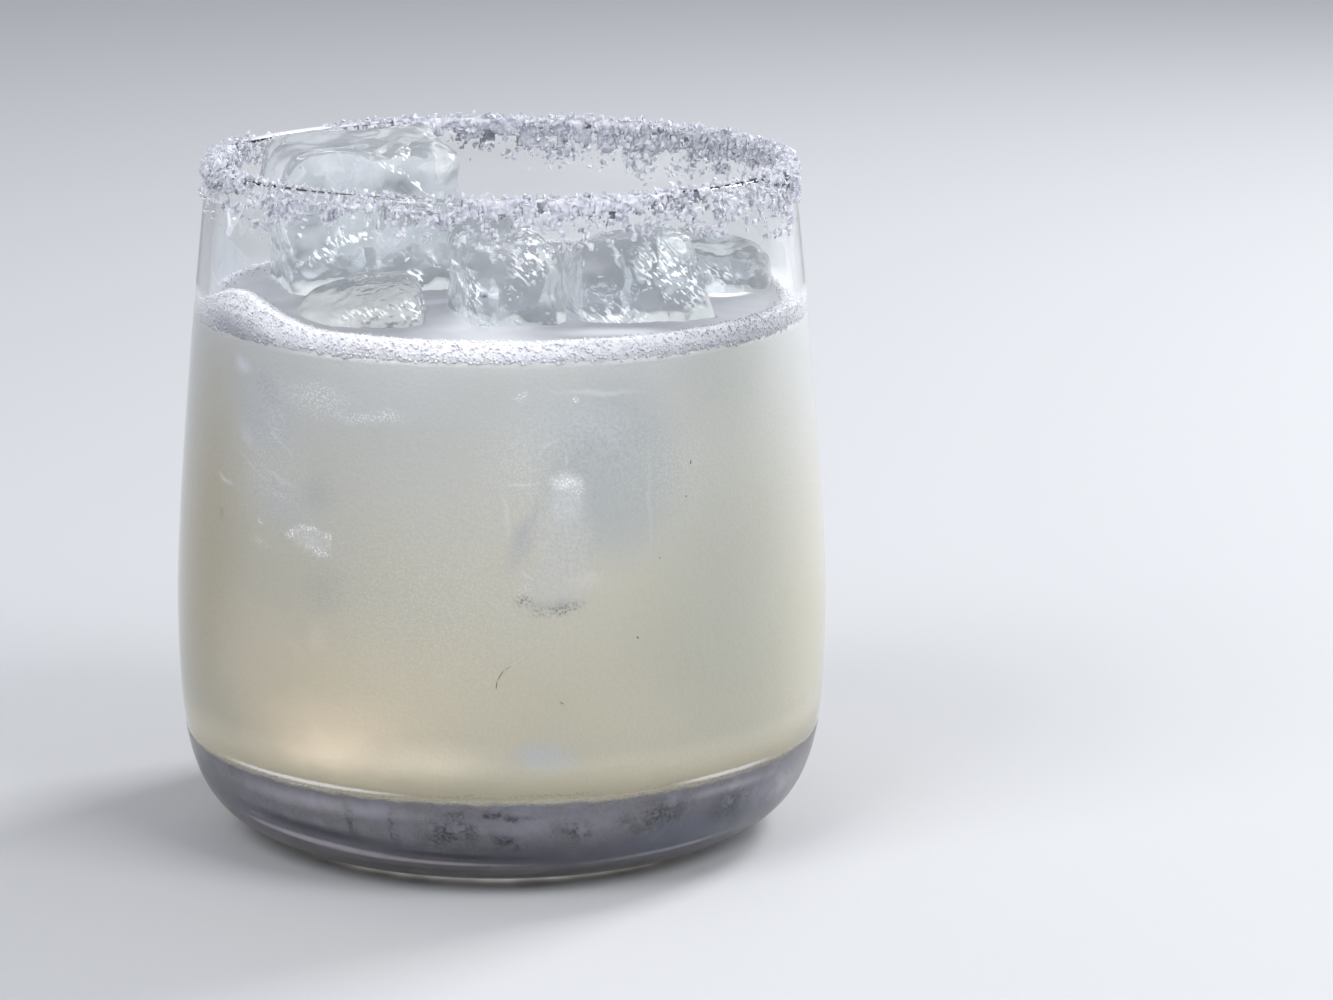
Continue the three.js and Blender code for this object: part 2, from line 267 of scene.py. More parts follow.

# The light and dark lines and planes of the ice that presses against the wall, with painted highlights on it
ICE_SIGNS_AND_HIGHLIGHTS = (
    (17, 66.2, 9.0, 0.5, -6, (0.66, 0.69, 0.72), 0.5),
    (8, 60, 2.6, 0.35, 14, (0.64, 0.66, 0.69), 0.4),
    (10.5, 58, 0.35, 2.0, 0, (0.64, 0.66, 0.69), 0.4),
    (3, 54.6, 2.6, 0.35, 6, (0.68, 0.70, 0.73), 0.6),
    (0.5, 51, 0.4, 3.6, 14, (0.62, 0.64, 0.66), 0.4),
    (9.2, 42.6, 6.6, 3.8, 4, (0.485, 0.482, 0.465), 0.7, 0.3),
    (9.8, 47.2, 4.6, 5.4, 0, (0.485, 0.49, 0.48), 0.65, 0.3),
    (10.8, 52.2, 3.1, 4.2, 0, (0.54, 0.55, 0.55), 0.7, 0.3),
    (3.6, 48.5, 1.8, 7.4, -22, (0.34, 0.365, 0.39), 0.6),
    (9.0, 39.7, 5.4, 1.2, 6, (0.34, 0.35, 0.35), 0.65),
    (14.2, 42.4, 3.2, 1.7, 8, (0.60, 0.555, 0.50), 0.5),
    (3.8, 43.2, 1.6, 0.35, -35, (0.66, 0.67, 0.70), 0.5),
    (24, 37.3, 4.5, 0.4, 8, (0.42, 0.43, 0.40), 0.4),
    (-55, 66.5, 2.6, 1.7, 0, (0.66, 0.67, 0.76), 0.7),
    (-47, 64.5, 4.2, 2.4, -30, (0.38, 0.40, 0.46), 0.45),
    (-52, 57.5, 3.0, 1.4, -35, (0.60, 0.62, 0.66), 0.5),
    (-58.5, 51.2, 2.6, 0.6, -4, (0.70, 0.70, 0.73), 0.6),
    (-43, 53.2, 3.4, 0.5, -14, (0.62, 0.63, 0.68), 0.5),
    (-59, 46.5, 1.1, 1.0, -30, (0.28, 0.28, 0.27), 0.5),
    (-34, 33.6, 2.6, 2.4, 0, (0.68, 0.60, 0.51), 0.5),
    # Painted highlights: a glow under the ring of light at the left, and the top of the bell
    (-35.6, 46, 4.2, 2.4, -15, (0.74, 0.75, 0.77), 0.3),
    (10.8, 54.9, 2.8, 1.7, -18, (0.80, 0.81, 0.83), 0.55),
    (-38, 31.5, 3.4, 1.6, -30, (0.62, 0.56, 0.47), 0.4),
    (-44, 58.5, 6.5, 0.5, -32, (0.62, 0.64, 0.69), 0.35),
    (-50, 54.0, 5.5, 0.45, -24, (0.62, 0.63, 0.68), 0.35),
    (-34, 52.5, 4.5, 4.0, -12, (0.38, 0.395, 0.42), 0.45, CLOUD_CORE),
    (26.5, 52, 0.5, 12, -2, (0.53, 0.545, 0.54), 0.35),
)

# Patches: azimuth, height, half width, half height, tilt and, for some, strength. Glints are painted
# highlights in white specks, dark specks are dark ones, and the ripple of the ice shows where it is pressed
# against the wall, with painted highlights on its crests.
GLINTS = (
    (10.6, 54.9, 2.7, 1.6, -20, 3.2), (12.6, 53.6, 1.3, 1.6, 20, 1.6), (11, 52.5, 3.0, 3.4, 0, 0.3),
    (3.6, 65.8, 1.5, 1.2, 0, 0.9), (12.8, 65.6, 0.6, 0.5, -40, 2.0), (3.2, 41, 1.6, 1.4, 0, 0.8),
    (-38.9, 46.6, 1.7, 1.0, 25, 5.0), (-35.6, 47.4, 2.3, 0.7, -8, 4.5), (-31.9, 46.2, 0.9, 1.2, 0, 4.0),
    (-34.2, 44.8, 2.4, 0.8, -14, 5.0), (-35.6, 46, 4.2, 2.6, -15, 0.35), (-47.3, 47.6, 1.1, 0.6, -20, 1.8),
    (-47, 44.6, 2.6, 0.9, 0, 0.6), (-35, 64, 9.0, 3.4, -8, 0.7), (-24, 62.5, 7.0, 1.2, 3, 0.9),
    (-45, 60, 3.0, 3.0, 0, 0.8), (-44, 51.5, 5.0, 0.8, -14, 0.9), (4, 57, 10, 11, 0, 0.28),
    (-46, 55, 12, 14, 0, 0.28), (-14, 40, 30, 22, 0, 0.2), (30, 56, 14, 12, 0, 0.2),
)
# Dark specks on the drink
DARK_SPECKS = (
    (8.8, 38.8, 5.4, 1.2, 6), (3.4, 39.7, 2.0, 1.1, -10), (11.0, 39.2, 3.6, 1.0, 12), (9, 38.6, 4.0, 0.8, 4),
    (-8, 14.1, 9.0, 0.6, 0), (10, 14.2, 14.0, 0.7, 0), (30, 14.2, 8.0, 0.6, 0),
)
PRESSED = ((10, 47.5, 7, 12, 0), (-46, 64, 7, 5, 0), (-35, 46, 5, 3.4, -20), (16, 60, 12, 8, 0))

# Where wet ice glints, as it shows from the front: x, height, half width, half height, tilt, strength
ICE_GLINTS = (
    (-13.2, 89.8, 1.5, 0.8, 25, 4.5), (-14.4, 88.4, 2.1, 0.55, -25, 4.5), (-11.2, 86.2, 2.0, 0.5, -50, 4.0),
    (-20, 79, 4.6, 0.9, 10, 2.2), (-23.5, 77.0, 2.0, 1.6, 0, 1.8), (3.8, 80.0, 3.4, 4.2, -30, 1.5),
    (-3.5, 75.5, 1.6, 4.0, 0, 0.9), (21.5, 77.2, 7.2, 3.6, -35, 1.5), (14.0, 72.4, 6.0, 2.4, 0, 0.8),
    (-11.5, 73.6, 2.4, 1.3, -20, 2.0), (-17, 73.2, 5.0, 1.0, 10, 0.8), (29, 74.4, 4.0, 1.2, -15, 0.8),
)

# Bright lines along the edge of the drink's floor
FLOOR_LIGHT_CORE = 0.5
FLOOR_LIGHTS = (
    (-40, 14.0, 19, 0.42, 0, (0.55, 0.55, 0.56), 1.0), (46, 14.0, 11, 0.42, 0, (0.55, 0.55, 0.56), 1.0),
)

# Lighter and greyer stretches of the froth's ring
FROTH_TONES = (
    (-58, 70.6, 14, 3.0, -8, (0.40, 0.41, 0.47), 0.8), (60, 71.5, 28, 6, 0, (0.36, 0.36, 0.40), 0.85),
    (-4, 71.0, 20, 3, 0, (0.82, 0.82, 0.86), 0.6),
)

# Painted light and dark bands, as the thick base's glass bends them, and where its mist is rubbed off
BASE_BANDS = (
    (-34, 12.0, 22, 1.7, 0, (0.46, 0.45, 0.51), 0.65),
    (8, 11.0, 20, 2.4, 0, (0.25, 0.25, 0.30), 0.5),
    (44, 12.4, 12, 1.0, 0, (0.46, 0.46, 0.50), 0.5),
    (36, 8.0, 20, 6.0, 0, (0.06, 0.075, 0.11), 0.65),
    (2, 6.5, 24, 4.0, 0, (0.06, 0.06, 0.08), 0.6),
    (-36, 7.9, 20, 1.3, -3, (0.03, 0.03, 0.042), 0.85, 0.1),
    (-8, 6.2, 16, 0.7, -2, (0.02, 0.018, 0.025), 0.8, 0.1),
    (-37, 5.9, 20, 0.75, -3, (0.56, 0.51, 0.56), 0.85, 0.2),
    (-16, 5.0, 20, 0.5, -1, (0.50, 0.44, 0.46), 0.7, 0.2),
    (-24, 3.5, 26, 0.75, 0, (0.025, 0.022, 0.03), 0.85, 0.1),
    (32, 4.9, 18, 0.6, 2, (0.34, 0.35, 0.40), 0.6, 0.1),
    (24, 3.2, 22, 0.8, 0, (0.02, 0.022, 0.03), 0.85, 0.1),
    (64, 9.5, 8, 4.0, 0, (0.42, 0.43, 0.47), 0.6),
    (0, 1.7, 60, 0.3, 0, (0.50, 0.53, 0.60), 0.7, 0.3),
)
SMUDGES = (
    (-9, 9.5, 6.5, 3.4, 0), (12, 9.8, 4.2, 2.8, 0), (27, 10.4, 8.5, 3.6, 4), (-28, 9.5, 0.9, 4.2, 6),
    (-19, 9.5, 1.1, 4.0, 0), (1, 8.2, 3.4, 2.4, 0), (44, 9.6, 6.0, 4.0, 8), (-2, 12.2, 9.0, 0.8, 0),
)


def curve_points(curve, count):
    """Points along a curve with four control points."""
    t = np.linspace(0.0, 1.0, count)[:, None]
    a, b, c, d = (np.array(p) for p in curve)
    return a * (1 - t) ** 3 + 3 * b * t * (1 - t) ** 2 + 3 * c * t * t * (1 - t) + d * t ** 3


OUTSIDE = np.vstack([curve_points(HEEL, OUTLINE_STEPS), curve_points(WALL, OUTLINE_STEPS)[1:]])


def outer_radius(z):
    return float(np.interp(z, OUTSIDE[:, 1], OUTSIDE[:, 0]))


def inner_radius(z):
    rise = min(max((z - FLOOR_HEIGHT) / (GLASS_HEIGHT - FLOOR_HEIGHT), 0.0), 1.0)
    return outer_radius(z) - (WALL_THICKNESS + (LIP_THICKNESS - WALL_THICKNESS) * rise)


def smooth(low, high, value):
    t = min(max((value - low) / (high - low), 0.0), 1.0)
    return t * t * (3 - 2 * t)


def azimuth_of(x, y):
    """Degrees round the glass from its front, positive to the right."""
    return math.degrees(math.atan2(x, -y))


def hump(azimuth, centre, spread):
    """A smooth hump of height 1 at a centre; azimuths wrap round."""
    away = (azimuth - centre + 540.0) % 360.0 - 180.0
    return math.exp(-((away / spread) ** 2))


def rotation(degrees):
    """The turn about X, then Y, then Z, as a matrix"""
    return Euler([math.radians(a) for a in degrees], "XYZ").to_matrix()


def round_glass(radius, azimuth, z):
    """A point at an azimuth, in millimetres"""
    turn = math.radians(azimuth)
    return radius * math.sin(turn), -radius * math.cos(turn), z


def basin_outline(top, reach, steps=24, corner_steps=12):
    """The wet outline from a height on the wall down round the floor's corner to the axis."""
    corner_top = FLOOR_HEIGHT + FLOOR_CORNER
    points = []
    for step in range(steps):
        z = top + (corner_top - top) * step / steps
        points.append((inner_radius(z) + reach, z))
    radius = FLOOR_CORNER + reach
    centre = inner_radius(corner_top) - FLOOR_CORNER
    for step in range(corner_steps + 1):
        turn = math.pi / 2 * step / corner_steps
        points.append((centre + radius * math.cos(turn), corner_top - radius * math.sin(turn)))
    points.append((0.0, FLOOR_HEIGHT - reach))
    return points


def finish_piece(obj, material, replaced=()):
    """Gives a piece its finish, and puts it on the glass's body."""
    obj.data.materials.clear()
    obj.data.materials.append(material)
    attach(obj, BODY)
    if replaced:
        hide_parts(*replaced)
    return obj


def add_to_scene(obj):
    bpy.context.scene.collection.objects.link(obj)
    return obj


def loose_object(mould, name, smooth_faces=True):
    """An object that is in no collection yet, from a finished bmesh"""
    mesh = bpy.data.meshes.new(name)
    mould.to_mesh(mesh)
    mould.free()
    if smooth_faces:
        mesh.shade_smooth()
    return bpy.data.objects.new(name, mesh)


def mesh_piece(name, points, faces):
    """A smooth mesh object from points in millimetres."""
    mesh = bpy.data.meshes.new(name)
    mesh.from_pydata([tuple(c * MM for c in p) for p in points], [], faces)
    mesh.shade_smooth()
    return add_to_scene(bpy.data.objects.new(name, mesh))


def set_cover(mesh, cover):
    """Stores how much of the surface is covered, for the scatter tree."""
    mesh.attributes.new("cover", "FLOAT", "POINT").data.foreach_set("value", cover)


def turned(name, outline, sides):
    """A closed turned mesh. The outline runs from the axis below, round the outside, to the axis above."""
    points = []
    rings = []
    for radius, z in outline:
        if radius < 1e-6:
            rings.append([len(points)])
            points.append((0.0, 0.0, z))
            continue
        rings.append(list(range(len(points), len(points) + sides)))
        for side in range(sides):
            turn = math.tau * side / sides
            points.append((radius * math.cos(turn), radius * math.sin(turn), z))
    faces = []
    for low, high in zip(rings, rings[1:]):
        for side in range(sides):
            beside = (side + 1) % sides
            if len(low) == 1:
                faces.append((low[0], high[beside], high[side]))
            elif len(high) == 1:
                faces.append((low[side], low[beside], high[0]))
            else:
                faces.append((low[side], low[beside], high[beside], high[side]))
    return mesh_piece(name, points, faces)


def baked(obj):
    """Applies every modifier of an object to its mesh."""
    depsgraph = bpy.context.evaluated_depsgraph_get()
    mesh = bpy.data.meshes.new_from_object(obj.evaluated_get(depsgraph), depsgraph=depsgraph)
    obj.modifiers.clear()
    old = obj.data
    obj.data = mesh
    bpy.data.meshes.remove(old)
    mesh.name = obj.name
    return obj


def cut_out(obj, cutters):
    """Cuts other closed meshes out of an object, and removes them."""
    for cutter in cutters:
        cut = obj.modifiers.new("cut", "BOOLEAN")
        cut.operation = "DIFFERENCE"
        cut.solver = "MANIFOLD"
        cut.object = cutter
    baked(obj)
    for cutter in cutters:
        bpy.data.objects.remove(cutter)
    return obj


def joined(name, objs):
    """Joins loose meshes into one named piece."""
    first = objs[0]
    with bpy.context.temp_override(active_object=first, selected_editable_objects=objs, object=first):
        bpy.ops.object.join()
    first.name = name
    first.data.name = name
    return first


def ice_block(name, shape, steps, grow=0.0):
    """A rounded block with melted, creased faces, drawn in or out by a distance"""
    centre, size, turn, rounding, melt, taper, phase = shape
    half = Vector([side / 2 + grow for side in size])
    rounding += grow
    turned_by = rotation(turn)
    seed = Vector((phase * 7.0, phase * 3.0, phase))
    mould = bmesh.new()
    bmesh.ops.create_cube(mould, size=2.0)
    bmesh.ops.subdivide_edges(mould, edges=mould.edges[:], cuts=steps - 1, use_grid_fill=True)
    for vert in mould.verts:
        p = Vector([c * h for c, h in zip(vert.co, half)])
        core = Vector([min(max(c, rounding - h), h - rounding) for c, h in zip(p, half)])
        out = p - core
        p = core + out.normalized() * rounding
        wave = melt * math.sin(0.33 * p.x + phase) * math.cos(0.29 * p.y - phase)
        dent = melt * math.cos(0.31 * p.z + 2 * phase)
        narrow = 1 - taper * (p.z / (2 * half.z) + 0.5)
        p = Vector((p.x * narrow + dent, p.y * narrow + wave, p.z + wave * 0.8))
        # Folds and swells first, then finer folds and a grain
        push = 0.55 * (0.35 - 1.4 * abs(noise.noise(p * 0.2 + seed))) + 0.16 * noise.noise(p * 0.55 + seed)
        push -= 0.16 * abs(noise.noise(p * 0.9 + seed)) - 0.05 * noise.noise(p * 2.1 + seed)
        p += out.normalized() * push
        p += HOLLOW_PUSH * smooth(5.5, 0.5, (p - HOLLOW).length) * (phase == HOLLOW_PHASE)
        vert.co = (turned_by @ p + Vector(centre)) * MM
    return add_to_scene(loose_object(mould, name))


def plug(tree, made, inputs):
    """Sets or links sockets of a node."""
    for key, value in inputs.items():
        if isinstance(value, bpy.types.NodeSocket):
            tree.links.new(value, made.inputs[key])
        else:
            made.inputs[key].default_value = value
    return made


def node(tree, kind, inputs=None, **settings):
    """Adds a node, sets its fields, and sets or links its sockets."""
    made = tree.nodes.new(kind)
    for name, value in settings.items():
        setattr(made, name, value)
    return plug(tree, made, inputs or {})


def socket_of(sockets, kind, name=None):
    """The first socket of a type, for nodes that hold one for each type of data"""
    return next(s for s in sockets if s.type == kind and name in (None, s.name))


def maths(tree, operation, a, b, clamped=False):
    return node(tree, "ShaderNodeMath", {0: a, 1: b}, operation=operation, use_clamp=clamped).outputs[0]


def vector_maths(tree, operation, a, b):
    return node(tree, "ShaderNodeVectorMath", {0: a, 1: b}, operation=operation).outputs[0]


def ramp(tree, value, start, stop, low=0.0, high=1.0, soft=True):
    """Goes from low to high as a value goes from start to stop, with soft ends or straight."""
    inputs = {"Value": value, "From Min": start, "From Max": stop, "To Min": low, "To Max": high}
    kind = "SMOOTHSTEP" if soft else "LINEAR"
    return node(tree, "ShaderNodeMapRange", inputs, interpolation_type=kind).outputs[0]


def cloud(tree, where, scale, detail=2.0):
    """A soft noise about a half"""
    inputs = {"Vector": where, "Scale": scale, "Detail": detail}
    return node(tree, "ShaderNodeTexNoise", inputs).outputs["Fac"]


def new_group(name, inputs, outputs):
    """An empty shader group: its tree, what it is given and its end. A triple makes a vector socket."""
    tree = bpy.data.node_groups.new(name, "ShaderNodeTree")
    for side, sockets in (("INPUT", inputs), ("OUTPUT", outputs)):
        for label, value in sockets.items():
            kind = "NodeSocketVector" if isinstance(value, tuple) else "NodeSocketFloat"
            tree.interface.new_socket(label, in_out=side, socket_type=kind).default_value = value
    return tree, tree.nodes.new("NodeGroupInput").outputs, tree.nodes.new("NodeGroupOutput")


def blob_group():
    """A soft egg-shaped mask about a place: 1 in its middle, 0 past its edge."""
    tree, given, end = new_group(
        "Soft Patch",
        {"Position": ORIGIN, "Centre": ORIGIN, "Radii": (0.01, 0.01, 0.01), "Turn": 0.0, "Core": 0.0},
        {"Mask": 0.0})
    away = vector_maths(tree, "SUBTRACT", given["Position"], given["Centre"])
    turned_by = node(tree, "ShaderNodeVectorRotate", {"Vector": away, "Angle": given["Turn"]},
                     rotation_type="Z_AXIS")
    scaled = vector_maths(tree, "DIVIDE", turned_by.outputs[0], given["Radii"])
    length = node(tree, "ShaderNodeVectorMath", {0: scaled}, operation="LENGTH").outputs["Value"]
    plug(tree, end, {"Mask": ramp(tree, length, 1.0, given["Core"])})
    return tree


def wall_group():
    """The wall laid flat: the arc from the front to the right as X, the height as Y."""
    tree, given, end = new_group(
        "Flat Wall", {"Position": ORIGIN, "Radius": 0.0415, "Waver": 0.0}, {"Place": ORIGIN})
    parts = node(tree, "ShaderNodeSeparateXYZ", {0: given["Position"]})
    ahead = maths(tree, "MULTIPLY", parts.outputs["Y"], -1.0)
    turn = maths(tree, "ARCTAN2", parts.outputs["X"], ahead)
    arc = maths(tree, "MULTIPLY", turn, given["Radius"])
    flat = node(tree, "ShaderNodeCombineXYZ", {0: arc, 1: parts.outputs["Z"]})
    waves = node(tree, "ShaderNodeTexNoise", {"Vector": given["Position"], "Scale": 170.0, "Detail": 2.0})
    offset = vector_maths(tree, "SUBTRACT", waves.outputs["Color"], (0.5, 0.5, 0.5))
    flat_offset = vector_maths(tree, "MULTIPLY", offset, (1.0, 1.0, 0.0))
    shift = node(tree, "ShaderNodeVectorMath", {0: flat_offset, "Scale": given["Waver"]}, operation="SCALE")
    plug(tree, end, {"Place": vector_maths(tree, "ADD", flat.outputs[0], shift.outputs[0])})
    return tree


def height_group():
    """A mask that is 0 at one height and 1 at another; the drift moves its edge."""
    tree, given, end = new_group(
        "Height Zone", {"Position": ORIGIN, "From": 0.0, "To": 0.01, "Drift": 0.0}, {"Mask": 0.0})
    parts = node(tree, "ShaderNodeSeparateXYZ", {0: given["Position"]})
    shifted = maths(tree, "ADD", parts.outputs["Z"], given["Drift"])
    plug(tree, end, {"Mask": ramp(tree, shifted, given["From"], given["To"])})
    return tree


def speckle_group():
    """Scattered round specks, as a mask, with a finer noise beside it as a height."""
    tree, given, end = new_group(
        "Fine Specks", {"Position": ORIGIN, "Scale": 1000.0, "Share": 0.3}, {"Mask": 0.0, "Height": 0.0})
    cells = node(tree, "ShaderNodeTexVoronoi",
                 {"Vector": given["Position"], "Scale": given["Scale"], "Randomness": 1.0})
    grain = cloud(tree, given["Position"], given["Scale"], 3.0)
    mask = ramp(tree, cells.outputs["Distance"], given["Share"], 0.0)
    plug(tree, end, {"Mask": mask, "Height": grain})
    return tree


GROUPS = {"blob": blob_group(), "wall": wall_group(), "height": height_group(), "specks": speckle_group()}


def use_group(tree, name, inputs):
    """Places a shared group in a material."""
    return plug(tree, node(tree, "ShaderNodeGroup", node_tree=GROUPS[name]), inputs).outputs


def specks(tree, where, scale, share):
    return use_group(tree, "specks", {"Position": where, "Scale": scale, "Share": share})


def between(tree, where, none, full, shift=0.0):
    """A mask that is 0 at one height and 1 at another, in millimetres"""
    inputs = {"Position": where, "From": none * MM, "To": full * MM, "Drift": shift}
    return use_group(tree, "height", inputs)["Mask"]


def on_wall(tree, where, waver=0.0):
    """The place on the wall laid flat, true to size at the belly"""
    inputs = {"Position": where, "Radius": WALL_UNROLLED * MM, "Waver": waver * MM}
    return use_group(tree, "wall", inputs)["Place"]


def blob(tree, place, centre, radii, core=0.0, turn=0.0):
    """A soft patch as a mask, in millimetres and degrees; the core is its share in full tone"""
    return use_group(tree, "blob", {
        "Position": place, "Centre": [c * MM for c in centre], "Radii": [r * MM for r in radii],
        "Core": core, "Turn": math.radians(turn)})["Mask"]


def drift(tree, where, amount, scale=90.0):
    """A soft rise and fall about zero, in millimetres"""
    return maths(tree, "MULTIPLY", maths(tree, "SUBTRACT", cloud(tree, where, scale, 1.0), 0.5), amount * MM)


def bumped(tree, height, strength, distance):
    """A normal pushed about by a height, over a distance in millimetres"""
    inputs = {"Strength": strength, "Distance": distance * MM, "Height": height}
    return node(tree, "ShaderNodeBump", inputs).outputs["Normal"]


def new_material(name, **constants):
    """A material with its Principled node, its tree and its object coordinates."""
    material = bpy.data.materials.new(name)
    material.use_nodes = True
    tree = material.node_tree
    shader = tree.nodes["Principled BSDF"]
    plug(tree, shader, {key.replace("_", " "): value for key, value in constants.items()})
    where = node(tree, "ShaderNodeTexCoord").outputs["Object"]
    return material, tree, shader, where


def mix_colour(tree, mask, low, high):
    """A colour that goes from low to high with a mask. Either end may be a socket."""
    mixed = node(tree, "ShaderNodeMix", {"Factor": mask}, data_type="RGBA")
    for name, value in (("A", low), ("B", high)):
        target = socket_of(mixed.inputs, "RGBA", name)
        if isinstance(value, bpy.types.NodeSocket):
            tree.links.new(value, target)
        else:
            target.default_value = (*value, 1.0)
    return socket_of(mixed.outputs, "RGBA")


def let_lamps_through(tree, shader, tint=(1.0, 1.0, 1.0)):
    """Lamps shine through a clear material onto what is inside it."""
    rays = node(tree, "ShaderNodeLightPath")
    clear = node(tree, "ShaderNodeBsdfTransparent", {"Color": (*tint, 1.0)})
    mixed = node(tree, "ShaderNodeMixShader",
                 {0: rays.outputs["Is Shadow Ray"], 1: shader.outputs[0], 2: clear.outputs[0]})
    tree.links.new(mixed.outputs[0], tree.nodes["Material Output"].inputs["Surface"])


def painted(tree, place, colour, strokes, core=CLOUD_CORE, across=ARC_OF_DEGREE):
    """Lays soft strokes over a colour. A stroke may end with a core of its own."""
    for azimuth, z, wide, high, tilt, tone, share, *own_core in strokes:
        centre = (azimuth * across, z, 0.0)
        mask = blob(tree, place, centre, (wide, high, ENDLESS), own_core[0] if own_core else core, -tilt)
        if share != 1.0:
            mask = maths(tree, "MULTIPLY", mask, share)
        colour = mix_colour(tree, mask, colour, tone)
    return colour


def marked(tree, place, patches, ground=0.0, core=ICE_CORE, across=ARC_OF_DEGREE):
    """A grey mask laid over a ground. A patch may end with a strength."""
    strokes = [(*patch[:5], [*patch[5:], 1.0][:1] * 3, 1.0) for patch in patches]
    return painted(tree, place, (ground, ground, ground), strokes, core, across)


def glass_material(settings):
    """Clear glass, finely misted outside up to the drink's level, with a darker base."""
    material, tree, shader, where = new_material(
        "misted_glass", IOR=1.5, Transmission_Weight=1.0, Metallic=0.0)
    shift = drift(tree, where, 2.0)
    misted = between(tree, where, *MIST_EDGE, shift)
    tint = mix_colour(tree, between(tree, where, *BASE_EDGE, shift), CLEAR_GLASS, tuple(settings.base_tint))
    beads = maths(tree, "MULTIPLY", cloud(tree, where, 1900.0, 1.0), between(tree, where, *MIST_EDGE))
    plug(tree, shader, {
        "Roughness": ramp(tree, misted, 0.0, 1.0, 0.0, settings.mist, False),
        "Base Color": tint,
        "Normal": bumped(tree, beads, 0.22, 0.08)})
    let_lamps_through(tree, shader)
    return material


def mist_material(settings):
    """Grey mist on the base with painted light and dark bands of the glass in it, wiped off in places"""
    material, tree, shader, where = new_material("base_mist", Roughness=0.16)
    place = on_wall(tree, where, WAVER)
    shift = drift(tree, where, 0.6, 400.0)
    low = between(tree, where, 0.3, 0.9, shift)
    zone = maths(tree, "MULTIPLY", low, between(tree, where, 14.1, 13.4, shift))
    dots = specks(tree, where, 2000.0, 0.95)
    dotted = ramp(tree, dots["Mask"], 0.0, 1.0, 0.3, 1.3, False)
    patchy = ramp(tree, cloud(tree, where, 520.0, 3.0), 0.38, 0.56)
    rubbed_off = maths(tree, "MULTIPLY", marked(tree, place, SMUDGES), patchy)
    smudge = maths(tree, "MULTIPLY", rubbed_off, dotted, True)
    streaks = cloud(tree, where, 220.0, 3.0)
    ahead = blob(tree, place, (0.0, 8.0, 0.0), (68.0, ENDLESS, ENDLESS), 0.72)
    thick = ramp(tree, ahead, 0.0, 1.0, 0.3, 1.0, False)
    grainy = ramp(tree, streaks, 0.3, 0.7, 0.7, 1.0, False)
    share = maths(tree, "MULTIPLY", maths(tree, "MULTIPLY", zone, grainy), thick)
    fine = maths(tree, "MULTIPLY", dots["Height"], 0.3)
    fine = maths(tree, "ADD", maths(tree, "MULTIPLY", streaks, 0.7), fine)
    colour = mix_colour(tree, fine, (0.085, 0.083, 0.105), (0.28, 0.275, 0.32))
    lower = maths(tree, "MULTIPLY", between(tree, where, 9.5, 3.0, shift), 0.85)
    colour = mix_colour(tree, lower, colour, (0.05, 0.047, 0.06))
    # Painted light and dark bands of the thick glass
    colour = painted(tree, on_wall(tree, where), colour, BASE_BANDS)
    colour = mix_colour(tree, smudge, colour, (0.02, 0.024, 0.04))
    plug(tree, shader, {"Alpha": maths(tree, "MULTIPLY", share, settings.film), "Base Color": colour})
    return material


def drink_material(settings):
    """Cloudy lime drink: cool and grey over the sunk ice, creamy low down, with a painted warm glow of light
    at the left and painted shade at its sides
    """
    material, tree, shader, where = new_material("cloudy_lime_drink", Roughness=0.32, Emission_Strength=1.0)
    material.cycles.emission_sampling = "NONE"
    crisp = on_wall(tree, where, WAVER)
    level = on_wall(tree, where)
    top = between(tree, where, 26.0, 72.0, drift(tree, where, 10.0))
    colour = mix_colour(tree, top, tuple(settings.low_colour), tuple(settings.top_colour))
    # The clouds hold a painted warm glow of light at the left and painted shade at the sides
    colour = painted(tree, crisp, colour, CLOUDS_GLOW_AND_SHADE)
    colour = painted(tree, crisp, colour, ICE_SIGNS_AND_HIGHLIGHTS, ICE_CORE)
    # Painted highlights: white specks where the glints lie
    sparks = maths(tree, "ADD", specks(tree, where, 3300.0, 0.6)["Mask"], 0.07)
    sparks = maths(tree, "MULTIPLY", sparks, marked(tree, crisp, GLINTS), True)
    colour = mix_colour(tree, sparks, colour, (0.95, 0.96, 1.0))
    # Dark specks where their patches lie
    dark_dots = maths(tree, "MULTIPLY", specks(tree, where, 2500.0, 0.8)["Mask"], marked(tree, crisp, DARK_SPECKS), True)
    colour = mix_colour(tree, maths(tree, "MULTIPLY", dark_dots, 0.9), colour, (0.07, 0.085, 0.11))
    grain = cloud(tree, where, 2100.0, 1.0)
    pressed = marked(tree, level, PRESSED, 0.25)
    # Painted highlights on the crests of the ripple where the ice is pressed against the wall
    crest = maths(tree, "MULTIPLY", ramp(tree, grain, 0.38, 0.62, 0.0, 0.22, False), pressed)
    colour = mix_colour(tree, crest, colour, (0.70, 0.71, 0.72))
    # Light of its own: dim under the froth and over the floor, with bright lines along the floor's edge
    inside = blob(tree, where, (0.0, 0.0, 66.0), (37.0, 37.0, ENDLESS), 0.97)
    inside = maths(tree, "MULTIPLY", inside, between(tree, where, 70.3, 69.6))
    light = mix_colour(tree, inside, BLACK, (0.30, 0.31, 0.32))
    light = mix_colour(tree, between(tree, where, 20.5, 13.8), light, (0.25, 0.23, 0.17))
    light = painted(tree, level, light, FLOOR_LIGHTS, FLOOR_LIGHT_CORE)
    plug(tree, shader, {
        "Base Color": colour, "Emission Color": light,
        "Normal": bumped(tree, maths(tree, "MULTIPLY", grain, pressed), 0.6, 0.2)})
    return material


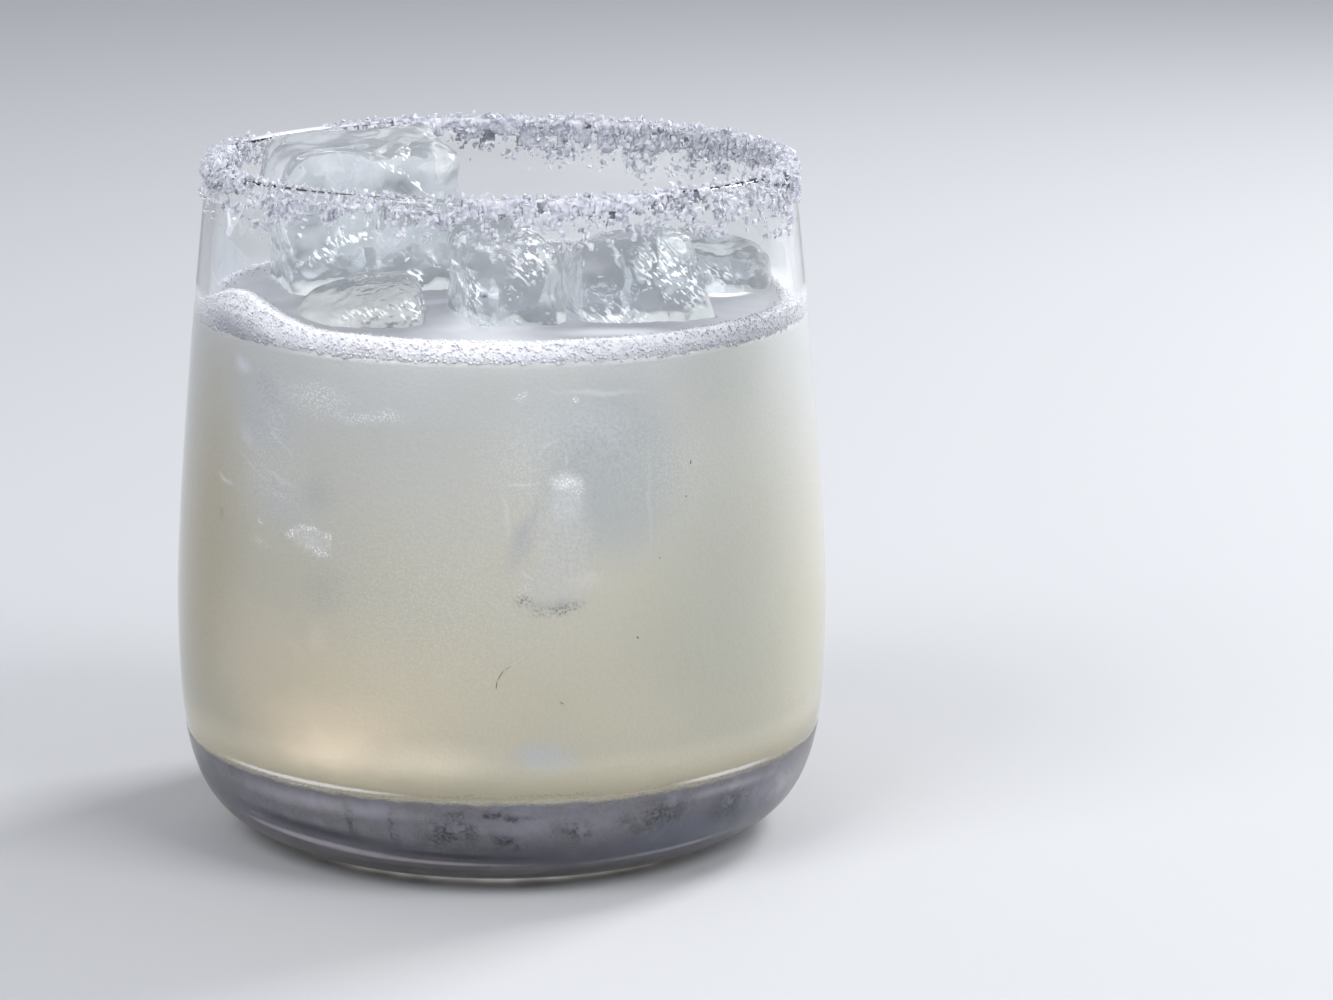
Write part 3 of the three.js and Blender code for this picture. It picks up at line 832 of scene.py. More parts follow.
def froth_material(settings):
    """White froth with tiny bubbles and dark pits, smoother away from the wall, greyer there by painted shade
    """
    material, tree, shader, where = new_material("white_froth", Roughness=0.5, Specular_IOR_Level=0.2)
    parts = node(tree, "ShaderNodeSeparateXYZ", {0: where})
    flat = node(tree, "ShaderNodeCombineXYZ", {0: parts.outputs["X"], 1: parts.outputs["Y"]})
    out = node(tree, "ShaderNodeVectorMath", {0: flat.outputs[0]}, operation="LENGTH").outputs["Value"]
    ring = ramp(tree, out, 36.8 * MM, 38.6 * MM)
    # The smooth top is greyer than the ring at the wall: painted shade on the top
    colour = mix_colour(tree, ring, tuple(settings.shaded_froth_colour), tuple(settings.ring_colour))
    some = ramp(tree, cloud(tree, where, 260.0, 1.0), 0.47, 0.6)
    pits = maths(tree, "MULTIPLY", specks(tree, where, 1500.0, 0.24)["Mask"], some)
    pits = maths(tree, "MULTIPLY", maths(tree, "MULTIPLY", pits, ring), 0.75)
    colour = mix_colour(tree, pits, colour, (0.30, 0.31, 0.35))
    colour = painted(tree, on_wall(tree, where, WAVER), colour, FROTH_TONES)
    patch = blob(tree, where, (14.5, -26.5, 71.7), (10.5, 4.2, 4.0), 0.2)
    colour = mix_colour(tree, maths(tree, "MULTIPLY", patch, 0.6), colour, (0.84, 0.85, 0.90))
    glint = blob(tree, where, (30.3, -0.4, 71.6), (4.2, 1.6, 4.0), 0.5, -20.05)
    colour = mix_colour(tree, glint, colour, (0.97, 0.97, 1.0))
    relief = maths(tree, "MULTIPLY", specks(tree, where, 2300.0, 0.6)["Mask"],
                   ramp(tree, ring, 0.0, 1.0, 0.1, 1.0, False))
    plug(tree, shader, {"Base Color": colour, "Normal": bumped(tree, relief, 0.7, 0.2)})
    return material


def ice_material(name, clarity, ripple_scale, ripple, tone=1.0):
    """Wet ice: clear, with milky drifts, a rippled melt, and glints where the photograph shows them"""
    material, tree, shader, where = new_material(
        name, IOR=1.31, Transmission_Weight=clarity, Metallic=0.0, Emission_Strength=1.0)
    material.cycles.emission_sampling = "NONE"
    milk = ramp(tree, cloud(tree, where, 150.0, 3.0), 0.42, 0.66)
    colour = mix_colour(tree, milk, *([tone * c for c in end] for end in ICE_TONES))
    patchy = ramp(tree, cloud(tree, where, 95.0, 0.0), 0.42, 0.6, 0.15, 1.0, False)
    melt = maths(tree, "MULTIPLY", cloud(tree, where, ripple_scale, 1.5), patchy)
    # Slanted dashes, kept to the patches that glint as seen from the front
    parts = node(tree, "ShaderNodeSeparateXYZ", {0: where})
    seen = node(tree, "ShaderNodeCombineXYZ", {0: parts.outputs["X"], 1: parts.outputs["Z"]}).outputs[0]
    slanted = node(tree, "ShaderNodeVectorRotate", {"Vector": where, "Angle": -0.75}, rotation_type="Y_AXIS")
    drawn_out = vector_maths(tree, "MULTIPLY", slanted.outputs[0], (1.0, 1.0, 2.8))
    dashes = ramp(tree, cloud(tree, drawn_out, 900.0, 1.0), 0.52, 0.62, 0.02, 0.8)
    shine = maths(tree, "MULTIPLY", marked(tree, seen, ICE_GLINTS, core=0.2, across=1.0), dashes, True)
    plug(tree, shader, {
        "Base Color": colour,
        "Roughness": ramp(tree, milk, 0.0, 1.0, 0.02, 0.24, False),
        "Normal": bumped(tree, melt, ripple, 1.4),
        "Emission Color": mix_colour(tree, shine, BLACK, (0.80, 0.83, 0.88))})
    let_lamps_through(tree, shader, (0.9, 0.92, 0.94))
    return material


def crack_material():
    """White crazing inside ice: patchy, and clear at its edge"""
    material, tree, shader, where = new_material(
        "ice_crazing", Roughness=0.35, Base_Color=(0.88, 0.90, 0.94, 1.0))
    webs = node(tree, "ShaderNodeTexVoronoi", {"Vector": where, "Scale": 420.0}, feature="DISTANCE_TO_EDGE")
    lines = ramp(tree, webs.outputs["Distance"], 0.12, 0.0, 0.0, 0.75)
    fogged = ramp(tree, cloud(tree, where, 300.0, 3.0), 0.45, 0.75, 0.0, 0.55)
    plug(tree, shader, {"Alpha": maths(tree, "MAXIMUM", maths(tree, "MULTIPLY", lines, fogged), fogged)})
    return material


def salt_material(settings):
    """Coarse salt: bright, slightly glassy grains, some duller and cooler at random"""
    material, tree, shader, where = new_material("coarse_salt", Roughness=0.28, IOR=1.54)
    spread = ramp(tree, cloud(tree, where, 1300.0, 1.0), 0.35, 0.65)
    colour = mix_colour(tree, spread, tuple(settings.shade_colour), tuple(settings.grain_colour))
    plug(tree, shader, {"Base Color": colour})
    return material


def brine_material():
    """Salt water that has run down and dried half white"""
    material, tree, shader, where = new_material("brine", IOR=1.36, Transmission_Weight=0.3, Roughness=0.08)
    colour = mix_colour(tree, cloud(tree, where, 500.0), (0.80, 0.83, 0.88), (0.97, 0.97, 0.98))
    plug(tree, shader, {"Base Color": colour})
    let_lamps_through(tree, shader, (0.9, 0.9, 0.92))
    return material


def film_material():
    """A thin veil of froth left on the wall, patchily see-through"""
    material, tree, shader, where = new_material("froth_veil", Roughness=0.5)
    soft = cloud(tree, where, 400.0)
    colour = mix_colour(tree, soft, (0.60, 0.62, 0.67), (0.74, 0.75, 0.79))
    plug(tree, shader, {"Base Color": colour, "Alpha": ramp(tree, soft, 0.0, 1.0, 0.25, 0.5, False)})
    return material


def scatter_tree():
    """Scatters small pieces over a surface, by a cover attribute, with the instances realized."""
    tree = bpy.data.node_groups.new("Scattered Grains", "GeometryNodeTree")
    for label, kind, value in (
        ("Geometry", "Geometry", None), ("Pieces", "Collection", None), ("Density", "Float", 1.0),
        ("Smallest", "Float", 0.5), ("Largest", "Float", 1.0), ("Lift", "Float", 0.0), ("Seed", "Int", 0),
        ("Finish", "Material", None),
    ):
        socket = tree.interface.new_socket(label, in_out="INPUT", socket_type="NodeSocket" + kind)
        if value is not None:
            socket.default_value = value
    tree.interface.new_socket("Geometry", in_out="OUTPUT", socket_type="NodeSocketGeometry")
    given = tree.nodes.new("NodeGroupInput").outputs
    seed = given["Seed"]
    cover = node(tree, "GeometryNodeInputNamedAttribute", {"Name": "cover"}, data_type="FLOAT")
    density = maths(tree, "MULTIPLY", cover.outputs["Attribute"], given["Density"])
    spots = node(tree, "GeometryNodeDistributePointsOnFaces",
                 {"Mesh": given["Geometry"], "Density": density, "Seed": seed})
    spins = node(tree, "FunctionNodeRandomValue", {1: (math.tau, math.tau, math.tau), "Seed": seed},
                 data_type="FLOAT_VECTOR")
    sizes = node(tree, "FunctionNodeRandomValue", {"Seed": seed}, data_type="FLOAT")
    tree.links.new(given["Smallest"], socket_of(sizes.inputs, "VALUE", "Min"))
    tree.links.new(given["Largest"], socket_of(sizes.inputs, "VALUE", "Max"))
    index = node(tree, "GeometryNodeInputIndex").outputs[0]
    heights = node(tree, "FunctionNodeRandomValue", {"Seed": seed, "ID": index}, data_type="FLOAT")
    tree.links.new(given["Lift"], socket_of(heights.inputs, "VALUE", "Max"))
    lift = node(tree, "ShaderNodeVectorMath",
                {0: spots.outputs["Normal"], "Scale": socket_of(heights.outputs, "VALUE")}, operation="SCALE")
    raised = node(tree, "GeometryNodeSetPosition",
                  {"Geometry": spots.outputs["Points"], "Offset": lift.outputs[0]})
    shapes = node(tree, "GeometryNodeCollectionInfo",
                  {"Collection": given["Pieces"], "Separate Children": True, "Reset Children": True})
    placed = node(tree, "GeometryNodeInstanceOnPoints", {
        "Points": raised.outputs[0], "Instance": shapes.outputs[0], "Pick Instance": True,
        "Rotation": socket_of(spins.outputs, "VECTOR"), "Scale": socket_of(sizes.outputs, "VALUE")})
    real = node(tree, "GeometryNodeRealizeInstances", {"Geometry": placed.outputs[0]})
    dressed = node(tree, "GeometryNodeSetMaterial",
                   {"Geometry": real.outputs[0], "Material": given["Finish"]})
    node(tree, "NodeGroupOutput", {0: dressed.outputs[0]})
    return tree


def scattered(name, ground, shapes, finish, **values):
    """Runs the scatter tree over a ground mesh and keeps the result as a plain mesh piece."""
    tree = bpy.data.node_groups.get("Scattered Grains") or scatter_tree()
    kinds = bpy.data.collections.new(name + "_kinds")
    for shape in shapes:
        kinds.objects.link(shape)
    carrier = add_to_scene(bpy.data.objects.new(name, ground.data.copy()))
    modifier = carrier.modifiers.new("scatter", "NODES")
    modifier.node_group = tree
    identifiers = {s.name: s.identifier for s in tree.interface.items_tree if s.in_out == "INPUT"}
    for label, value in {"Pieces": kinds, "Finish": finish, **values}.items():
        modifier[identifiers[label]] = value
    baked(carrier)
    bpy.data.collections.remove(kinds)
    for shape in shapes:
        bpy.data.objects.remove(shape)
    return carrier


def crystal(draw, stretch):
    """One small crystal about 1 mm across: the hull of a few points in a box"""
    mould = bmesh.new()
    for _ in range(CRYSTAL_CORNERS):
        p = Vector([draw.uniform(-0.5, 0.5) for _ in range(3)])
        p = p / max(abs(c) for c in p) * 0.5 if draw.random() < CRYSTAL_FLATNESS else p
        mould.verts.new(Vector([c * s for c, s in zip(p, stretch)]) * MM)
    hull = bmesh.ops.convex_hull(mould, input=mould.verts[:])
    spare = [v for v in hull["geom_interior"] if isinstance(v, bmesh.types.BMVert)]
    bmesh.ops.delete(mould, geom=spare, context="VERTS")
    bmesh.ops.recalc_face_normals(mould, faces=mould.faces[:])
    return loose_object(mould, "crystal", False)


def round_bead(subdivisions):
    """A bead 1 mm across"""
    mould = bmesh.new()
    bmesh.ops.create_icosphere(mould, subdivisions=subdivisions, radius=0.5 * MM)
    return loose_object(mould, "bead")


def salt_depth_outside(azimuth):
    """How far the salt hangs below the lip outside, in millimetres"""
    clumps = (2.3 * hump(azimuth, -12, 9) + 2.4 * hump(azimuth, 45, 7) + 2.6 * hump(azimuth, 66, 8)
              + 1.9 * hump(azimuth, -38, 5) + 1.6 * hump(azimuth, 20, 16) + 1.5 * hump(azimuth, 120, 30))
    return 4.1 + clumps - 1.2 * hump(azimuth, -27, 6)


def salt_depth_inside(azimuth):
    clumps = 4.2 * hump(azimuth, 147, 20) + 2.6 * hump(azimuth, 122, 12) + 3.2 * hump(azimuth, 172, 11)
    return 2.2 + clumps + 2.4 * hump(azimuth, 148, 2.6) - 0.8 * hump(azimuth, -140, 25)


def lip_row(row):
    """A row of the band over the lip: its radius and height, its normal, and how far it is below the lip"""
    lip = LIP_THICKNESS / 2
    if row < BAND_OUTSIDE:
        below = (BAND_OUTSIDE - row) * BAND_STEP
        return outer_radius(LIP_CENTRE - below), LIP_CENTRE - below, (1.0, 0.0), below
    if row <= BAND_OUTSIDE + BAND_ARC:
        angle = math.pi * (row - BAND_OUTSIDE) / BAND_ARC
        normal = (math.cos(angle), math.sin(angle))
        return LIP_RADIUS - lip + lip * normal[0], LIP_CENTRE + lip * normal[1], normal, 0.0
    below = (row - BAND_OUTSIDE - BAND_ARC) * BAND_STEP
    return inner_radius(LIP_CENTRE - below), LIP_CENTRE - below, (-1.0, 0.0), below


def salt_held(azimuth, place, below, on_lip, inside):
    """How much salt clings at a place on the band, from 0 to 1"""
    depth = salt_depth_inside(azimuth) if inside else salt_depth_outside(azimuth)
    bare = 1.0
    for centre, spread, share in BARE_LIP:
        bare -= share * hump(azimuth, centre, spread)
    near_lip = max(on_lip, smooth(1.0, 0.2, below))
    open_lip = near_lip * (1.0 - FRONT_THINNING * smooth(78.0, 40.0, abs(azimuth)))
    left = (1.0 - below / depth) * (INSIDE_FULLNESS if inside else 1.0)
    lace = COARSE_LACE * noise.noise(place * 0.5) + FINE_LACE * noise.noise(place * 1.1 + LACE_SHIFT)
    held = smooth(0.0, 0.2, left - 0.42 + 0.4 * open_lip + lace * (1.0 - 0.3 * open_lip))
    held *= 1 - near_lip * (1 - max(bare, 0.0))
    stray = 0.1 * smooth(depth + 2.6, depth * 0.5, below) * (1 - near_lip)
    return held, max(held, stray)


def lip_band():
    """A band over the lip, from below the salt's hem outside to below it inside, with its cover of salt"""
    points = []
    cover = []
    rows = BAND_OUTSIDE + BAND_ARC + 1 + BAND_INSIDE
    for column in range(BAND_COLUMNS):
        azimuth = 360.0 * column / BAND_COLUMNS - 180.0
        for row in range(rows):
            radius, z, normal, below = lip_row(row)
            place = Vector(round_glass(radius, azimuth, z))
            inside = row > BAND_OUTSIDE + BAND_ARC
            held, share = salt_held(azimuth, place, below, float(below == 0.0), inside)
            rough = 0.5 + 0.5 * noise.noise(place * 1.5) + 0.25 * noise.noise(place * 3.7)
            out = 0.06 + 0.22 * held * max(rough, 0.0)
            points.append(round_glass(radius + normal[0] * out, azimuth, z + normal[1] * out))
            cover.append(share)
    faces = []
    for column in range(BAND_COLUMNS):
        beside = (column + 1) % BAND_COLUMNS
        for row in range(rows - 1):
            a, b = column * rows + row, beside * rows + row
            faces.append((a, b, b + 1, a + 1))
    band = mesh_piece("salt_band", points, faces)
    set_cover(band.data, cover)
    return band


def strand(name, path, sides=10, wall=outer_radius):
    """A closed drip along points of (azimuth, height, width), lying against a wall"""
    points = []
    rings = []
    for azimuth, z, width in path:
        out = Vector(round_glass(1.0, azimuth, 0.0))
        side = Vector(round_glass(1.0, azimuth + 90.0, 0.0))
        centre = out * (wall(z) + 0.28 * width) + Vector((0, 0, z))
        rings.append(range(len(points), len(points) + sides))
        for k in range(sides):
            a = math.tau * k / sides
            points.append(centre + side * (0.5 * width * math.cos(a)) + out * (0.36 * width * math.sin(a)))
    faces = [tuple(rings[0]), tuple(reversed(rings[-1]))]
    for low, high in zip(rings, rings[1:]):
        for k in range(sides):
            n = (k + 1) % sides
            faces.append((low[k], high[k], high[n], low[n]))
    obj = mesh_piece(name, points, faces)
    rounded = obj.modifiers.new("round", "SUBSURF")
    rounded.levels = rounded.render_levels = 1
    return baked(obj)


def thin_sheet(name, columns, rows, layers, point_at):
    """A thin closed sheet: two grids of points, one over the other, with walls round them"""
    points = [point_at(layer, column / columns, row / rows)
              for layer in layers for column in range(columns + 1) for row in range(rows + 1)]
    stride = rows + 1
    back = (columns + 1) * stride
    faces = []
    for column in range(columns):
        low, beside = column * stride, (column + 1) * stride
        for a, b in zip(range(low, low + rows), range(beside, beside + rows)):
            faces.append((b, b + 1, a + 1, a))
            faces.append((a + back, a + 1 + back, b + 1 + back, b + back))
        faces.append((low + back, beside + back, beside, low))
        faces.append((low + rows, beside + rows, beside + rows + back, low + rows + back))
    for row in range(rows):
        end = columns * stride + row
        faces.append((row, row + 1, row + 1 + back, row + back))
        faces.append((end + back, end + 1 + back, end + 1, end))
    return mesh_piece(name, points, faces)


class GlassSettings(bpy.types.PropertyGroup):
    sides: bpy.props.IntProperty(name="Sides", description="Facets round the glass", default=192, min=24)
    mist: bpy.props.FloatProperty(
        name="Mist", description="How rough the misted outside is", default=0.06, min=0.0, max=1.0)
    film: bpy.props.FloatProperty(
        name="Mist Film", description="How thickly the base is misted", default=0.86, min=0.0, max=1.0)
    base_tint: bpy.props.FloatVectorProperty(
        name="Base Tint", description="Colour of the thick base", default=(0.62, 0.62, 0.68), size=3,
        subtype="COLOR", min=0.0, max=1.0)


class DrinkSettings(bpy.types.PropertyGroup):
    top_colour: bpy.props.FloatVectorProperty(
        name="Top Colour", description="Colour of the drink below the froth", default=(0.505, 0.515, 0.515),
        size=3, subtype="COLOR", min=0.0, max=1.0)
    low_colour: bpy.props.FloatVectorProperty(
        name="Low Colour", description="Colour of the drink near the floor", default=(0.495, 0.47, 0.375),
        size=3, subtype="COLOR", min=0.0, max=1.0)
    # The smooth top of the froth is made greyer by painted shade
    shaded_froth_colour: bpy.props.FloatVectorProperty(
        name="Froth Surface", description="Colour of the smooth froth", default=(0.275, 0.28, 0.30), size=3,
        subtype="COLOR", min=0.0, max=1.0)
    ring_colour: bpy.props.FloatVectorProperty(
        name="Froth Ring", description="Colour of the froth at the wall", default=(0.68, 0.68, 0.735), size=3,
        subtype="COLOR", min=0.0, max=1.0)


class SaltSettings(bpy.types.PropertyGroup):
    density: bpy.props.FloatProperty(
        name="Density", description="Coarse grains on each square millimetre", default=1.45, min=0.1, max=6.0)
    smallest: bpy.props.FloatProperty(
        name="Smallest Grain", description="Across, in millimetres", default=0.5, min=0.1)
    largest: bpy.props.FloatProperty(
        name="Largest Grain", description="Across, in millimetres", default=1.1, min=0.1)
    grain_colour: bpy.props.FloatVectorProperty(
        name="Grain Colour", description="Colour of the lit grains", default=(0.84, 0.85, 0.90), size=3,
        subtype="COLOR", min=0.0, max=1.0)
    shade_colour: bpy.props.FloatVectorProperty(
        name="Shade Colour", description="Colour of the duller grains", default=(0.60, 0.61, 0.69), size=3,
        subtype="COLOR", min=0.0, max=1.0)


class StageSettings(bpy.types.PropertyGroup):
    floor_size: bpy.props.FloatProperty(
        name="Floor Size", description="Side of the floor", default=8.0, min=0.5, unit="LENGTH")
    floor_colour: bpy.props.FloatVectorProperty(
        name="Floor Colour", description="Colour of the plain floor", default=(0.66, 0.67, 0.69), size=3,
        subtype="COLOR", min=0.0, max=1.0)
    surround: bpy.props.FloatProperty(
        name="Surround", description="Brightness of the surroundings", default=0.35, min=0.0)


class MARGARITA_OT_glass(bpy.types.Operator):
    """Turns the tumbler"""

    bl_idname = "margarita.glass"
    bl_label = "Build Glass"

    def execute(self, context):
        settings = context.scene.margarita_glass
        outline = [(0.0, PUNT_DEPTH), (FOOT_RING_INNER - PUNT_SLOPE, PUNT_DEPTH)]
        for step in range(1, PUNT_STEPS + 1):
            rise = smooth(0.0, PUNT_STEPS, step)
            outline.append((FOOT_RING_INNER - PUNT_SLOPE * (1 - step / PUNT_STEPS), PUNT_DEPTH * (1 - rise)))
        outline += [tuple(p) for p in curve_points(HEEL, HEEL_STEPS)]
        outline += [tuple(p) for p in curve_points(WALL, WALL_STEPS)[1:-1]]
        lip = LIP_THICKNESS / 2
        for step in range(LIP_STEPS + 1):
            turn = math.pi * step / LIP_STEPS
            outline.append((LIP_RADIUS - lip + lip * math.cos(turn), LIP_CENTRE + lip * math.sin(turn)))
        outline += basin_outline(LIP_CENTRE, 0.0)[1:]
        outline = [p for p in outline if p[1] <= GLASS_HEIGHT]
        glass = turned("tumbler", outline, settings.sides)
        finish_piece(glass, glass_material(settings), ("glass",))
        film = [(outer_radius(z) + MIST_OUT, z) for z in np.linspace(*MIST_HEIGHTS, MIST_STEPS)]
        film += [(radius + MIST_OUT, z) for radius, z in reversed(film)]
        mist = turned("base_mist", film + [film[0]], settings.sides)
        finish_piece(mist, mist_material(settings))
        return {"FINISHED"}


class MARGARITA_OT_ice(bpy.types.Operator):
    """Makes the ice that stands out of the drink"""

    bl_idname = "margarita.ice"
    bl_label = "Build Ice"

    def execute(self, context):
        cloudy = ice_material("cloudy_ice", 0.85, 240.0, 0.4)
        clear = ice_material("clear_ice", 0.86, 470.0, 0.42, 0.98)
        frosted = ice_material("frosted_ice", 0.8, 640.0, 1.0, 0.74)
        finishes = {"ice_back_left": cloudy, "ice_front_left": frosted}
        for name, shape in ICE.items():
            block = ice_block("wet_" + name, shape, ICE_STEPS, -ICE_SHRINK)
            finish_piece(block, finishes.get(name, clear), (name,))
        self.cracks()
        return {"FINISHED"}

    def cracks(self):
        """Crazed sheets and small bubbles frozen into the standing ice"""
        sheets = []
        beads = []
        for number, (name, shape) in enumerate(ICE.items()):
            draw = random.Random(ICE_SEED + number)
            centre, size = Vector(shape[0]), shape[1]
            turned_by = rotation(shape[2])
            for _ in range(TALL_CRACKS if name == "ice_back_left" else CRACKS):
                spot = Vector([draw.uniform(-0.22, 0.22) * side for side in size])
                spot.z += 0.12 * size[2]
                spin = Euler([draw.uniform(0, math.tau) for _ in range(3)], "XYZ").to_matrix()
                radius = draw.uniform(2.2, 0.21 * min(size))
                sheets.append(self.sheet(centre + turned_by @ spot, spin, radius, draw))
            for _ in range(AIR_BUBBLES):
                spot = Vector([draw.gauss(0.0, 0.12) * side for side in size])
                spot.z += 0.14 * size[2]
                for axis, low in enumerate((-0.34, -0.34, -0.3)):
                    spot[axis] = min(max(spot[axis], low * size[axis]), 0.34 * size[axis])
                bead = add_to_scene(round_bead(2))
                place = Matrix.Translation((centre + turned_by @ spot) * MM)
                bead.data.transform(place @ Matrix.Scale(draw.uniform(0.12, 0.5), 4))
                beads.append(bead)
        finish_piece(joined("ice_crazing", sheets), crack_material())
        air = new_material("frozen_air", Roughness=0.1, Alpha=0.7)[0]
        finish_piece(joined("ice_bubbles", beads), air)

    def sheet(self, centre, spin, radius, draw):
        """A bent, ragged disc with a thickness of a twentieth of a millimetre"""
        rings, sides = 5, 22
        shift = draw.uniform(0, 50)
        layers = []
        points = []
        for lift in (0.0, 0.05):
            layers.append(len(points) + 1)
            points.append(centre + spin @ Vector((0, 0, lift)))
            for ring in range(1, rings + 1):
                for side in range(sides):
                    turn = math.tau * side / sides
                    rim = Vector((math.cos(turn) * 1.6, math.sin(turn) * 1.6, shift))
                    reach = radius * ring / rings * (1 + 0.35 * noise.noise(rim))
                    flat = Vector((reach * math.cos(turn), reach * math.sin(turn), 0.0))
                    flat.z = 0.9 * noise.noise(flat * 0.35 + Vector((shift, 0, 0))) + lift
                    points.append(centre + spin @ flat)
        faces = []
        for start, outwards in zip(layers, (-1, 1)):
            for side in range(sides):
                beside = (side + 1) % sides
                faces.append((start - 1, start + side, start + beside)[::outwards])
                for ring in range(rings - 1):
                    a, b = start + ring * sides + side, start + ring * sides + beside
                    faces.append((a, a + sides, b + sides, b)[::outwards])
        low, high = (start + (rings - 1) * sides for start in layers)
        for side in range(sides):
            beside = (side + 1) % sides
            faces.append((low + side, low + beside, high + beside, high + side))
        return mesh_piece("sheet", points, faces)


class MARGARITA_OT_drink(bpy.types.Operator):
    """Fills the glass up to the froth"""

    bl_idname = "margarita.drink"
    bl_label = "Build Drink"

    def execute(self, context):
        settings = context.scene.margarita_drink
        top = DRINK_LEVEL + INTO_FROTH
        outline = basin_outline(top, INTO_WALL, 40)[::-1] + [(0.0, top)]
        drink = turned("lime_drink", outline, DRINK_SIDES)
        cut_out(drink, [ice_block("cutter", shape, CUTTER_STEPS, -0.15) for shape in ICE.values()])
        drink.data.shade_smooth()
        finish_piece(drink, drink_material(settings), ("drink",))
        return {"FINISHED"}


class MARGARITA_OT_pulp(bpy.types.Operator):
    """Lays shreds of lime against the wall"""

    bl_idname = "margarita.pulp"
    bl_label = "Build Pulp"

    def execute(self, context):
        shreds = []
        for start, z, stop, low, width in PULP:
            path = []
            for step in range(5):
                part = step / 4
                bulge = width * (0.45 + 0.55 * math.sin(math.pi * part))
                path.append((start + (stop - start) * part, z + (low - z) * part, bulge))
            shreds.append(strand("shred", path, 8, lambda height: inner_radius(height) + INTO_WALL - 0.02))
        material = new_material("lime_pulp", Roughness=0.5, Base_Color=(0.17, 0.13, 0.06, 1.0))[0]
        finish_piece(joined("lime_pulp", shreds), material)
        return {"FINISHED"}


class MARGARITA_OT_sunk_ice(bpy.types.Operator):
    """Makes the ice that shows through the drink where it touches the wall"""

    bl_idname = "margarita.sunk_ice"
    bl_label = "Build Sunk Ice"

    def execute(self, context):
        veiled = bpy.data.materials["cloudy_lime_drink"]
        for name, shape in SUNK_ICE.items():
            block = ice_block("sunk_ice_" + name, shape, SUNK_STEPS)
            for vert in block.data.vertices:
                p = vert.co / MM
                limit = inner_radius(p.z) + INTO_WALL - 0.03
                out = math.hypot(p.x, p.y)
                if out > limit:
                    vert.co = Vector((p.x * limit / out, p.y * limit / out, p.z)) * MM
            finish_piece(block, veiled)
        return {"FINISHED"}


